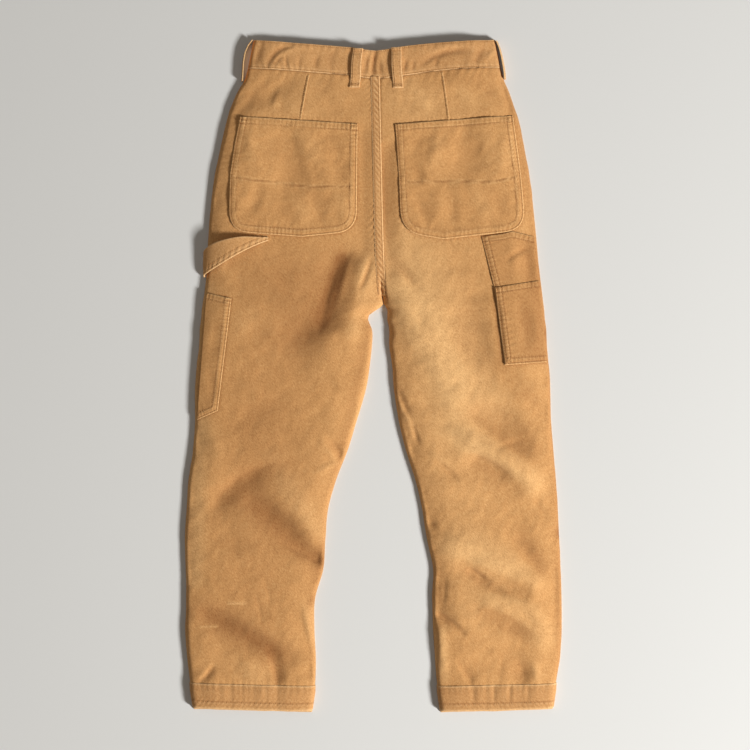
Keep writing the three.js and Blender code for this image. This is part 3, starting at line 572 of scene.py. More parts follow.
def wrinkles(side, x, y):
    """The fine form of a back: its height over the plain back, its painted shade, and its abraded places
    with painted light.
    """
    creased = cloth_feel[side][0] * crease_height(x, y, creases)
    main, painted_brightness = fold_height(x, y), fold_height(x, y, painted_light_and_shade)
    # Painted shade in the short creases and in the troughs of the main folds, painted highlight on their
    # crests, and the broad painted light and shade of the table above.
    shade = 0.10 * np.clip(-creased, 0, 2) + 0.05 * np.clip(-main, 0, 4) + np.clip(-painted_brightness, 0, 1)
    wear_and_painted_light = 0.10 * np.clip(creased + main, 0, 2) + np.clip(painted_brightness, 0, 1)

    above = smooth(crotch_level - 6, crotch_level + 12, y)
    off_seam = np.abs(x - centre_seam(y))
    beside = off_seam - seam_strip["half"]
    wave, pull, reach, line = seam_sewing
    near = bell(np.clip(beside, 0, 60), reach) * above
    height = creased + lumpy(side, x, y) * (1 - 0.8 * bell(np.clip(beside, 0, 90), 2 * reach) * above)
    height += pull * (1 + smooth(300, 210, y)) * near * pucker(y + 0.9 * off_seam, wave, 21)
    # A painted shadow line beside the felled centre seam.
    shade += line * bell(beside - 0.6, 1.6) * above

    below_waist = waist_seam(x) - y
    wave, pull, reach, line = waist_sewing
    height += pull * bell(np.clip(below_waist, 0, 60), reach) * pucker(x + 0.5 * below_waist, wave, 22)
    # A painted shadow line under the waistband's lower edge.
    shade += line * bell(below_waist - 0.6, 1.5)
    wave, pull, reach = cuff_sewing
    height += pull * bell(np.clip(y - cuff_level, 0, 60), reach) * pucker(x, wave, 23)

    covered = (beside < 0) * above
    wave, pulls, reach, line = patch_sewing
    for seed, (name, pull) in enumerate(zip(patches_on[side], pulls), 30):
        outline = patches[name]["outline"]
        distance, along = near_line(x, y, np.concatenate([outline, outline[:1]]))
        within = inside(x, y, outline)
        outside = np.where(within, 0, distance)
        height = height * (1 - 0.75 * bell(outside, 14))
        height += pull * bell(outside, reach) * pucker(along, wave, seed) - 0.2 * bell(outside, 2.4)
        # A painted shadow line round each sewn-on patch.
        shade += line * bell(outside - 0.3, 1.7)
        covered = np.maximum(covered, np.where(within, smooth(0, 3, distance), 0))
    return mix(height, under_patch, covered), np.clip(shade, 0, 0.8) * (1 - covered), np.clip(wear_and_painted_light, 0, 0.5)


# The front panels.
# One panel a leg, cut in the same canvas. They lie on the floor under the backs, flat but for a few
# creases that lift off it, and join the backs at the side seams and the inseams.
front_cloth = 1.2
# Distances in from a side edge where its points lie, and how many steps lie between the two edges.
front_grid = (np.array([0, 1.2, 4, 9]), 34)
front_creases = [
    (-200, 330, -110, 300, 8, 14, 9, 1.2), (-180, 180, -60, 130, 10, 18, 12, 1.6),
    (-60, 120, -20, 60, 4, 12, 8, 1.4), (-210, 20, -120, -20, 8, 18, 12, 1.2),
    (-220, -150, -90, -210, 10, 16, 10, 1.7), (-230, -300, -120, -350, 8, 16, 11, 1.4),
    (70, 330, 190, 300, 8, 14, 9, 1.2), (60, 140, 190, 100, 10, 18, 12, 1.5),
    (90, -20, 220, -60, 9, 18, 12, 1.2), (110, -150, 230, -190, 10, 16, 10, 1.7),
    (120, -310, 240, -350, 9, 16, 11, 1.4),
]


def places(x, y, z):
    """Points from their three places, each of which may be one for all, for a row or for a column."""
    return np.stack(np.broadcast_arrays(x, y, z), -1)


def shell(name, outer, inner, material, slot, wear_and_painted_light=0.0, shade=0.0):
    """A closed thin shell between two grids of points, with its abraded places, painted light and painted
    shade.
    """
    rows, columns = outer.shape[:2]
    count = rows * columns
    index = np.arange(count).reshape(rows, columns)
    face = np.stack([index[:-1, :-1], index[:-1, 1:], index[1:, 1:], index[1:, :-1]], -1).reshape(-1, 4)
    border = np.concatenate([index[0, :-1], index[:-1, -1], index[-1, :0:-1], index[:0:-1, 0]])
    after = np.roll(border, -1)
    rim = np.stack([after, border, border + count, after + count], -1)
    faces = np.concatenate([face, face[:, ::-1] + count, rim])
    points = np.concatenate([outer.reshape(-1, 3), inner.reshape(-1, 3)])
    both = [np.tile(np.broadcast_to(value, (rows, columns)).ravel(), 2) for value in (wear_and_painted_light, shade)]
    return closed_piece(name, points, faces, material, slot, *both)


def closed_piece(name, points, faces, material, slot, wear_and_painted_light, shade):
    """A smooth closed mesh, its faces turned outwards, riding on the garment's one body."""
    corner = points[faces]
    normals = (np.cross(corner[:, i], corner[:, i + 1]) for i in (1, 2))
    volume = sum(np.einsum("ij,ij->i", corner[:, 0], normal).sum() for normal in normals)
    if volume < 0:
        faces = faces[:, ::-1]
    mesh = bpy.data.meshes.new(name)
    mesh.from_pydata((points * mm).tolist(), [], faces.tolist())
    for attribute, value in (("wear_and_painted_light", wear_and_painted_light), ("painted_shade", shade)):
        stored = mesh.attributes.new(attribute, "FLOAT", "POINT")
        stored.data.foreach_set("value", value.astype(np.float32))
    mesh.shade_smooth()
    mesh.set_sharp_from_angle(angle=np.radians(50))
    mesh.materials.append(material)
    piece = bpy.data.objects.new(name, mesh)
    bpy.context.collection.objects.link(piece)
    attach(piece, "root")
    return piece


def lower_face(outer, thickness):
    """The other face of a cloth, its thickness in from the outer face."""
    normal = np.cross(np.gradient(outer, axis=1), np.gradient(outer, axis=0))
    normal /= np.maximum(np.linalg.norm(normal, axis=2, keepdims=True), 1e-9)
    normal *= np.sign(normal[..., 2:].sum() or 1)
    return outer - normal * thickness


def leg_grid(side, level, edge, middle):
    """Places on a panel, close by its two edges, with their levels and distances from these edges."""
    leg = legs[side]
    width = np.abs(inner_edge(side, level) - leg["outer"](level))[:, None]
    steps = edge[-1] + (width - 2 * edge[-1]) * np.linspace(0, 1, middle + 1)[None, 1:-1]
    close = np.broadcast_to(edge, (len(level), len(edge)))
    from_outer = np.concatenate([close, steps, width - close[:, ::-1]], axis=1)
    levels = np.broadcast_to(level[:, None], from_outer.shape)
    share = from_outer / width
    x = leg["outer"](levels) + leg["inward"] * from_outer
    y = levels + waist_shift(x, levels) + hem_shift(side, share, levels)
    return x, y, levels, from_outer, width - from_outer


for side in ("left", "right"):
    level = np.linspace(waist_level, leg_end, 156)
    x, y, levels, from_outer, from_inner = leg_grid(side, level, *front_grid)
    from_edge = np.minimum(from_outer, from_inner)
    lift = crease_height(x, y, front_creases) * smooth(4, 24, from_edge)
    z = hem_rise(levels) + lift
    # Abraded edges, and painted shade on the creases that lift off the floor.
    worn_and_painted_light = 0.5 * np.exp(-from_edge / 3)
    dark = 0.15 * np.clip(lift, 0, 2)
    bottom, top = places(x, y, z), places(x, y, z + front_cloth)
    front = shell(f"front_leg_{side}_cloth", bottom, top, canvas, "canvas", worn_and_painted_light, dark)
    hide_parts(f"front_leg_{side}")

# The fly shield.
# A straight doubled piece of canvas inside the front opening, sewn to the right front behind the fly.
shield_top, shield_bottom, shield_left, shield_right = 426, 262, 9, 31
shield_cloth = 1.4
y = np.linspace(shield_top, shield_bottom, 40)[:, None]
across = np.linspace(-shield_left, shield_right, 14)[None, :]
x = centre_seam(y) + across
on_front = cloth + seam_gap
z = on_front + shield_cloth + 0.05 * pucker(y, 9, 41)
z = z - 0.5 * (1 - smooth(0, 1.5, np.minimum(across + shield_left, shield_right - across)))
shield = shell("fly_shield_cloth", places(x, y, z), places(x, y, on_front), canvas, "canvas")
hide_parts("fly_shield")

# The back panels.
# One panel a leg. The side edges roll down to the fronts, the seat is joined in the centre seam, and
# the creases of washing and wearing lie in them. The leg's ends are inside the turned-up cuffs.
back_cloth = 1.2
edge_steps = np.array([0, 0.15, 0.5, 1.1, 2, 3.2, 4.7, 6.5, 8.6, 11])
back_grid = (edge_steps, 84)
cuff_height = cuff_level - leg_end
flatter_at_end = 0.6
# How far from an open edge the inner edges count where the centre seam joins them.
joined_distance = 60


def ragged(y, seed):
    """A side edge's small ins and outs, where its seam puckers."""
    return 0.55 * soft_noise(y, 0.0, 26, seed) + 0.30 * soft_noise(y, 9.0, 11, seed + 1)


def wrinkles_down(side, x, y, level):
    """The wrinkles of a back. Its end in the cuff has those of the cuff's level again, but flatter."""
    tucked = np.clip(cuff_level - level, 0, None)
    fine, dark, worn_and_painted_light = wrinkles(side, x, y + tucked)
    return fine * (1 - flatter_at_end * tucked / cuff_height), dark, worn_and_painted_light


for number, side in enumerate(("left", "right")):
    level = np.linspace(waist_level, leg_end, 358)
    x, y, levels, from_outer, from_inner = leg_grid(side, level, *back_grid)
    together = smooth(crotch_level, crotch_level + crotch_blend, levels)
    from_open_inner = np.maximum(from_inner, joined_distance * together)
    from_edge = np.minimum(from_outer, from_open_inner)
    fine, dark, worn_and_painted_light = wrinkles_down(side, x, y, levels)
    fine += 0.30 * pucker(levels, 10.5, 50 + number) * bell(from_edge - 7, 6)
    z = back_height(x, levels, from_outer, from_inner) + fine * smooth(1.5, 9, from_edge)
    shift = ragged(levels, 60 + number) * bell(from_outer, 9)
    shift -= ragged(levels, 70 + number) * bell(from_open_inner, 9)
    at_ends = smooth(waist_level, waist_level - 12, levels) * smooth(cuff_level, cuff_level + 14, levels)
    outer = places(x + shift * at_ends, y, z)
    inner = lower_face(outer, back_cloth)
    inner[:, 0, 2] = outer[:, 0, 2]
    inner[:, -1, 2] = np.maximum(inner[:, -1, 2], outer[:, -1, 2] - back_cloth)
    worn_and_painted_light = worn_and_painted_light + 0.15 * np.exp(-from_edge / 2.2)
    back = shell(f"back_leg_{side}_cloth", outer, inner, canvas, "canvas", worn_and_painted_light, dark)
    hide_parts(f"back_leg_{side}")

# The rows on the left calf.
# Two short rows of thread across it hold nothing that shows. Every row of sewing goes into one list,
# from which the stitches of the whole garment are made near the end.
calf_rows = [(-209, -331, -183, -331.5), (-248, -366, -225, -365.5)]
stitch_lines = []
for x1, y1, x2, y2 in calf_rows:
    x, y = np.linspace(x1, x2, 12), np.linspace(y1, y2, 12)
    stitch_lines.append(places(x, y, back_at("left", x, y) + wrinkles("left", x, y)[0] + 0.25))

# The darts.
# One in each back under the waistband: a fold of the panel stitched down, which shows as a low ridge
# that is steep on the side it is pressed to. Each is a strip that follows that fold.
darts = {
    "left": [(-92, 434), (-98, 404), (-104.5, 366)],
    "right": [(101.5, 438), (106.5, 405), (111.7, 366)],
}
dart_half, dart_rise = 2.4, 1.3


def along_line(line, share):
    """Points at shares of a line's length."""
    line = np.asarray(line, float)
    at = np.concatenate([[0], np.cumsum(np.hypot(*np.diff(line, axis=0).T))])
    return np.stack([np.interp(share, at / at[-1], column) for column in line.T], -1)


for side, line in darts.items():
    share = np.linspace(0, 1, 60)
    middle = along_line(line, share)
    across = np.linspace(-1, 1, 11)[None, :]
    profile = np.interp(across, [-1, -0.5, 0.1, 0.45, 0.7, 0.85, 1], [0, 0.42, 0.9, 1, 0.5, -0.1, 0])
    fade = smooth(1.4, 0.8, share)[:, None]
    x, y = np.broadcast_arrays(middle[:, :1] + across * dart_half, middle[:, 1:])
    ground = back_at(side, x, y) + wrinkles(side, x, y)[0]
    ridge = dart_rise * profile * fade * (1 + 0.25 * pucker(y, 6.5, 81))
    outer = places(x, y, ground + ridge - 0.12)
    # The gentle slope of the ridge is painted paler as a highlight, and the foot of its steep side is
    # painted darker as shade.
    worn_and_painted_light = 0.8 * bell(across - 0.25, 0.35) * fade
    dark = bell(across - 0.92, 0.26) * fade
    shell(f"dart_{side}", outer, places(x, y, ground - 0.5), canvas, "canvas", worn_and_painted_light, dark)
    stitch_lines.append(outer[3:-8:2, 3] + (0, 0, 0.1))

# The centre back seam.
# The seat's two edges are folded into each other and sewn down with two rows of thread from the
# waistband to the crotch, so it stands proud of the panels, and the rows rope it most over the seat.
strip_rows = (-4.5, 4.3)
strip_rise, strip_cloth = 0.9, 1.1


def strip_rope(x, y):
    """The slanting waves in which the rows rope the seam."""
    return pucker(y + 1.2 * (x - centre_seam(y)), 8.4, 91)


def strip_height(x, y):
    """The outside of the felled seam."""
    seam = centre_seam(y)
    off = x - seam
    left = back_at("left", np.minimum(x, seam - 0.2), y)
    right = back_at("right", np.maximum(x, seam + 0.2), y)
    height = np.where(off < 0, left, right) + strip_rise
    height = height + (0.60 + 0.70 * smooth(310, 210, y)) * strip_rope(x, y) * bell(off, 4.2)
    for row in strip_rows:
        height = height - 0.34 * bell(off - row, 0.8)
    return height - 0.5 * (1 - smooth(0, 1.2, seam_strip["half"] - np.abs(off)))


def strip_taper(y):
    """How much narrower the seam gets towards the crotch."""
    return mix(1, 0.8, smooth(170, seam_strip["end"], y))


def strap_shares(flat, count):
    """Shares across a strap from -1 to 1, close by its two edges and even between."""
    edge = np.array([-1, -0.985, -0.95, -0.9])
    return np.concatenate([edge, np.linspace(-flat, flat, count), -edge[::-1]])[None, :]


y = np.linspace(seam_strip["top"], seam_strip["end"], 236)[:, None]
across = strap_shares(0.84, 19)
off = across * seam_strip["half"] * strip_taper(y)
x = centre_seam(y) + off
rounded_end = 2.2 * (1 - across ** 2) * smooth(125, 116, y)
outer = places(x, y - rounded_end, strip_height(x, y))
# Abraded edges, painted highlights on the rope's waves, and painted shade in the rows' grooves and between
# the waves.
rope = strip_rope(x, y) * bell(off, 3.4)
worn_and_painted_light = 0.75 * bell(np.abs(off) - 6.1, 0.8) + 0.45 * np.clip(rope, 0, 1)
dark = sum(0.45 * bell(off - row, 0.8) for row in strip_rows) + 0.6 * np.clip(-rope, 0, 1)
strip = shell("centre_back_seam_cloth", outer, outer - (0, 0, strip_cloth), trim, "canvas_trim", worn_and_painted_light, dark)
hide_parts("centre_back_seam")
y = np.linspace(seam_strip["top"] - 1, seam_strip["end"] + 3, 110)
for row in strip_rows:
    x = centre_seam(y) + row * strip_taper(y)
    stitch_lines.append(places(x, y, strip_height(x, y) + 0.22))

# The two back pockets.
# Patch pockets of one layer of canvas with a double row of sewing down the sides and round the
# bottom, a turned hem at the mouth, and a row across that holds a second layer inside.
pocket_rows = (2.2, 10.2)
pocket_hem = 9.5
pocket_creases_gain = 2.3
cross_rows = {
    "back_pocket_left": [(-201.5, 285.5), (-160, 280), (-91, 272), (-31.5, 271.5)],
    "back_pocket_right": [(52, 278), (110, 279.5), (175, 279), (207, 285)],
}
pocket_creases = [
    (-152, 346, -108, 276, 4, 20, 24, -1.0), (-112, 354, -82, 292, 4, 15, 11, 1.0),
    (-92, 312, -78, 280, 1, 9, 8, -0.8), (-160, 274, -178, 236, 2, 7, 10, -0.8),
    (-90, 266, -76, 228, 2, 11, 7, -0.9), (-140, 246, -116, 214, 3, 13, 10, -0.6),
    (-62, 352, -46, 296, 2, 12, 9, -0.6), (-182, 352, -172, 300, 2, 12, 10, 0.5),
    (-118, 262, -96, 220, 3, 15, 10, 0.6), (-50, 264, -40, 226, 2, 10, 8, 0.5),
    (132, 358, 126, 300, 4, 24, 16, -1.0), (54, 306, 70, 282, 2, 9, 7, -0.8),
    (62, 256, 80, 220, 2, 10, 7, -0.9), (172, 262, 200, 222, 3, 13, 9, -0.8),
    (96, 348, 82, 296, 3, 12, 9, 0.6), (150, 268, 164, 222, 2, 14, 9, 0.6),
    (108, 262, 116, 222, 2, 11, 8, -0.7), (192, 350, 184, 296, 2, 14, 10, 0.6),
    (64, 352, 60, 314, 2, 12, 10, -0.5), (162, 352, 170, 300, 3, 14, 12, 0.5),
]


def grade(length, step):
    """Shares along a side, close by its ends and even between."""
    close = np.array([0, 0.3, 0.8, 1.5, 2.2, 3, 4.2, 5.6, 7, 8.4, 9.5, 10.3, 11.2, 12.5])
    close = close[close < length / 2.2]
    middle = np.linspace(close[-1], length - close[-1], max(int((length - 2 * close[-1]) / step), 2))[1:-1]
    return np.concatenate([close, middle, length - close[::-1]]) / length


def patch_grid(sides, step):
    """Places over a piece with four sides, closer by its edges."""
    top, right, bottom, left = sides["top"], sides["right"], sides["bottom"][::-1], sides["left"][::-1]
    length = [np.hypot(*np.diff(line, axis=0).T).sum() for line in (top, left)]
    across, down = grade(length[0], step), grade(length[1], step)
    u, v = across[None, :, None], down[:, None, None]
    grid = (1 - v) * along_line(top, across)[None] + v * along_line(bottom, across)[None]
    grid = grid + (1 - u) * along_line(left, down)[:, None] + u * along_line(right, down)[:, None]
    grid = grid - (1 - u) * ((1 - v) * top[0] + v * bottom[0]) - u * ((1 - v) * top[-1] + v * bottom[-1])
    return grid[..., 0], grid[..., 1]


def sewn_edge(x, y, sides, rows, hem, seed):
    """Height, painted shade, and abraded places with painted highlights, that the sewing gives to a patch,
    from its sides and its mouth.
    """
    from_sides, along = near_line(x, y, sides["sewn"])
    from_mouth, along_mouth = near_line(x, y, sides["top"])
    between = bell(from_sides - sum(rows) / 2, 0.62 * (rows[1] - rows[0]))
    hemmed = bell(from_mouth - hem / 2, 0.65 * hem)
    waves, mouth_waves = pucker(along, 5.6, seed), pucker(along_mouth, 5.9, seed + 2)
    height = 0.44 * between * waves + 0.45 * (1 - smooth(rows[1] + 0.3, rows[1] + 2.4, from_sides))
    height += 0.40 * hemmed * mouth_waves + 0.40 * (1 - smooth(hem + 0.3, hem + 2.2, from_mouth))
    height += 0.30 * bell(from_sides - rows[1] - 5, 5) * pucker(along + 3, 9.5, seed + 4)
    dark = np.zeros(np.shape(x))
    # Painted shade in the grooves of the rows.
    for distance, at in [(from_sides, row) for row in rows] + [(from_mouth, hem)]:
        groove = bell(distance - at, 0.85)
        height -= 0.50 * groove
        dark += 0.52 * groove
    edge = np.minimum(from_sides, from_mouth)
    height -= 0.70 * (1 - smooth(0, 0.9, edge)) + 0.45 * bell(edge, 7)
    # Abraded edges and bands by the rows, painted highlights on the puckers' crests, and painted shade in
    # their hollows.
    worn_and_painted_light = 0.85 * bell(edge, 1.3) * (0.8 + 0.6 * waves)
    worn_and_painted_light += 0.28 * (bell(from_sides - rows[1] + 1.6, 1.0) + bell(from_mouth - hem + 1.6, 1.0))
    worn_and_painted_light += 0.34 * between * np.clip(waves, 0, 1) + 0.30 * hemmed * np.clip(mouth_waves, 0, 1)
    dark += 0.40 * between * np.clip(-waves, 0, 1) + 0.36 * hemmed * np.clip(-mouth_waves, 0, 1)
    return height, np.clip(dark, 0, 0.8), np.clip(worn_and_painted_light, 0, 0.95)


def offset_line(line, distance, step=2.6):
    """A line moved sideways to its left, with even points."""
    length = np.hypot(*np.diff(line, axis=0).T).sum()
    points = along_line(line, np.linspace(0, 1, int(length / step)))
    way = np.gradient(points, axis=0)
    way /= np.linalg.norm(way, axis=1, keepdims=True)
    return points + np.stack([-way[:, 1], way[:, 0]], -1) * distance


def lying(height, firmness=1.8):
    """A height that sinks no further than the panel under it, in a soft way."""
    return np.logaddexp(0, firmness * height) / firmness


def pocket_height(name, side, x, y, seed):
    """The outside of a back pocket, its painted shade, and its abraded places with painted highlights."""
    height, dark, worn_and_painted_light = sewn_edge(x, y, patches[name], pocket_rows, pocket_hem, seed)
    creased = pocket_creases_gain * crease_height(x, y, pocket_creases)
    height += 0.5 + creased + 1.3 * soft_noise(x, y, 34, seed) + 0.6 * soft_noise(x, y, 12, seed + 1)
    height += 0.36 * soft_noise(x, y, 6.5, seed + 3)
    from_cross, along = near_line(x, y, cross_rows[name])
    height -= 0.32 * bell(from_cross, 0.9)
    height += 0.62 * bell(from_cross, 5) * pucker(along + 0.4 * (y - x), 6.4, seed + 7)
    # Painted shade in the cross row's groove and the creases, an abraded band beside the row, and painted
    # highlight on the creases' crests.
    dark = dark + 0.52 * bell(from_cross, 1.0) + 0.05 * np.clip(-creased, 0, 3)
    worn_and_painted_light = worn_and_painted_light + 0.25 * bell(from_cross - 1.8, 1.2) + 0.08 * np.clip(creased, 0, 1)
    return back_at(side, x, y) + lying(seam_gap + cloth + height), dark, worn_and_painted_light


def lay_on(name, ground, x, y, z, worn_and_painted_light, dark):
    """The shell of a patch. Its inside lies close on the ground and keeps under its outside."""
    under = np.minimum(np.clip(z - 0.5, ground - 0.2, ground + 0.25), z - 0.3)
    return shell(f"{name}_cloth", places(x, y, z), places(x, y, under), canvas, "canvas", worn_and_painted_light, dark)


def patch_lines(sides, rows, hem):
    """The rows of sewing along a patch's sewn sides and its mouth."""
    along_sides = [offset_line(sides["sewn"], -row)[1:-1] for row in rows]
    return along_sides + [offset_line(sides["top"], -hem)[1:-1]]


for number, side in enumerate(("left", "right")):
    name, seed = f"back_pocket_{side}", 100 + 20 * number
    x, y = patch_grid(patches[name], 2.1)
    z, dark, worn_and_painted_light = pocket_height(name, side, x, y, seed)
    pocket = lay_on(name, back_at(side, x, y) + seam_gap, x, y, z, worn_and_painted_light, dark)
    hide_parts(name)
    cross_line = offset_line(np.array(cross_rows[name], float), 0.0)
    for line in patch_lines(patches[name], pocket_rows, pocket_hem) + [cross_line]:
        x, y = line.T
        stitch_lines.append(places(x, y, pocket_height(name, side, x, y, seed)[0] + 0.2))

# The tool pockets.
# Narrow patches on the outer thighs, sewn in at the side seam: one on the left leg, and on the right
# leg a tall one with a small one on it, which is held at its lower outer corner by a bar of stitches.
tool_rows = (2.0, 9.0)
tool_hem = 8.5
tool_creases_gain = 1.7
# Side, patches under it, width and length of the cut in metres, and its area in square metres.
tool_pockets = {
    "tool_pocket_left": ("left", 0, (0.042, 0.188), 0.0062),
    "tool_pocket_right": ("right", 0, (0.095, 0.196), 0.0133),
    "tool_pocket_right_small": ("right", 1, (0.077, 0.123), 0.0077),
}
tool_creases = [
    (-226, 80, -232, 30, 2, 9, 7, -0.7), (-236, 10, -232, -34, 2, 8, 6, -0.6),
    (214, 108, 224, 44, 3, 11, 9, -1.2), (196, 166, 226, 182, 2, 5, 4, -1.0),
    (222, 186, 228, 140, 2, 7, 6, -0.8), (198, 190, 206, 150, 2, 8, 6, 0.5),
    (182, 104, 191, 22, 0, 3, 5, -0.9), (232, 100, 240, 50, 2, 8, 6, 0.5),
]


def tool_sides(name):
    """A tool pocket is sewn down its inner side and its bottom. Its outer side goes into the side seam."""
    sides = patches[name]
    if name.endswith("left"):
        sewn = np.concatenate([sides["right"][:-1], sides["bottom"]])
    else:
        sewn = np.concatenate([sides["bottom"][:-1], sides["left"]])
    return {"sewn": sewn, "top": sides["top"]}


def tool_height(name, x, y, seed):
    """The outside of a tool pocket, its painted shade, and its abraded places with painted highlights."""
    side, layer = tool_pockets[name][:2]
    sides = tool_sides(name)
    height, dark, worn_and_painted_light = sewn_edge(x, y, sides, tool_rows, tool_hem, seed)
    creased = tool_creases_gain * crease_height(x, y, tool_creases)
    height += creased + 0.6 * soft_noise(x, y, 26, seed) + 0.28 * soft_noise(x, y, 11, seed + 1)
    if name == "tool_pocket_right":
        small = patches["tool_pocket_right_small"]["outline"]
        distance = near_line(x, y, np.concatenate([small, small[:1]]))[0]
        height = mix(height, -0.6, np.where(inside(x, y, small), smooth(0, 3, distance), 0))
    height -= 0.40 * bell(near_line(x, y, sides["sewn"])[0], 5)
    # Painted shade in the creases, and on the right leg's pockets a painted shade that grows towards their
    # outer side.
    dark = dark + 0.10 * np.clip(-creased, 0, 2)
    if side == "right":
        dark = dark + 0.16 + 0.26 * smooth(208, 242, x)
    ground = back_at(side, x, y) + layer * (seam_gap + cloth)
    return ground + lying(seam_gap + cloth + height), dark, worn_and_painted_light


for seed, (name, (side, layer, cut, area)) in zip((150, 160, 170), tool_pockets.items()):
    x, y = patch_grid(patches[name], 1.9)
    z, dark, worn_and_painted_light = tool_height(name, x, y, seed)
    ground = back_at(side, x, y) + layer * (seam_gap + cloth) + seam_gap
    pocket = lay_on(name, ground, x, y, z, worn_and_painted_light, dark)
    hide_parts(name)
    for line in patch_lines(tool_sides(name), tool_rows, tool_hem):
        x, y = line.T
        stitch_lines.append(places(x, y, tool_height(name, x, y, seed)[0] + 0.2))

# The hammer loop.
# A doubled strap from the bottom of the left back pocket, where its tip is tucked, to the side seam.
# It is longer than the way between, so it arches off the leg and a handle goes under it.
loop_cloth = 1.7
loop_rows = (2.2, 8.2)
# Upper edge x, y, lower edge x, y, height of the top face.
hammer_rows = np.array([
    (-150, 199, -150, 194, 18.6), (-166, 199, -164, 188.5, 21.6), (-190, 199, -184, 179, 24.6),
    (-212, 195, -205, 167.5, 24.9), (-229, 190, -223, 157, 21.2), (-240, 184, -237, 149, 15.4),
    (-245.2, 179, -245, 144, 9.6), (-243.4, 177, -244.4, 141, 4.4),
])
along = np.linspace(0, len(hammer_rows) - 1, 86)[:, None]
spread = [curve_through(np.arange(len(hammer_rows)), column)(along) for column in hammer_rows.T]
upper_x, upper_y, lower_x, lower_y, top = spread
edge_shares = np.array([0, 0.012, 0.035, 0.07])
across = np.concatenate([edge_shares, np.linspace(0.11, 0.89, 16), [0.93, 0.965, 0.988, 1]])[None, :]
x, y = mix(upper_x, lower_x, across), mix(upper_y, lower_y, across)
width = np.hypot(upper_x - lower_x, upper_y - lower_y)
from_lower = (1 - across) * width
face = places(x, y, top)
normal = face - lower_face(face, 1.0)
grooves = sum(bell(from_lower - row, 0.8) for row in loop_rows)
fine = 0.55 * pucker(along * 17 + 0.5 * from_lower, 8.2, 171) * bell(from_lower - 5, 5) - 0.34 * grooves
edge = np.minimum(from_lower, across * width)
fine += 0.45 * soft_noise(x, y, 17, 172) - 0.45 * (1 - smooth(0, 0.9, edge))
outer = face + normal * fine[..., None]
inner = face - normal * loop_cloth
# Abraded edges and a paler band by the lower row. The rows' grooves get painted shade.
worn_and_painted_light = 0.85 * bell(edge, 1.3) + 0.25 * bell(from_lower - 5.2, 1.6)
hammer = shell("hammer_loop_cloth", outer, inner, trim, "canvas_trim", worn_and_painted_light, 0.3 * grooves)
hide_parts("hammer_loop")
spots = np.arange(len(outer))
for row in loop_rows:
    at = np.argmin(np.abs(from_lower - row), axis=1)
    line = mix(outer[:, 0], outer[:, -1], 1 - row / width)
    line[:, 2] = outer[spots, at, 2] + 0.15
    line = line + normal[spots, at] * 0.15
    stitch_lines.append(line[width[:, 0] > row + 4][:-3])

# The cuffs.
# The end of each leg is turned up twice on the outside and sewn round once near the bottom fold. The
# thread ropes the cloth, and the front's fold shows a little below the back's.
# Across the cuff: place, height.
cuff_folds = {
    "left": [(-214, 1.0), (-160, 0.8)],
    "right": [(147, -1.1), (177, -1.2), (200, -1.3), (228, -0.9)],
}
cuff_row = 25.5
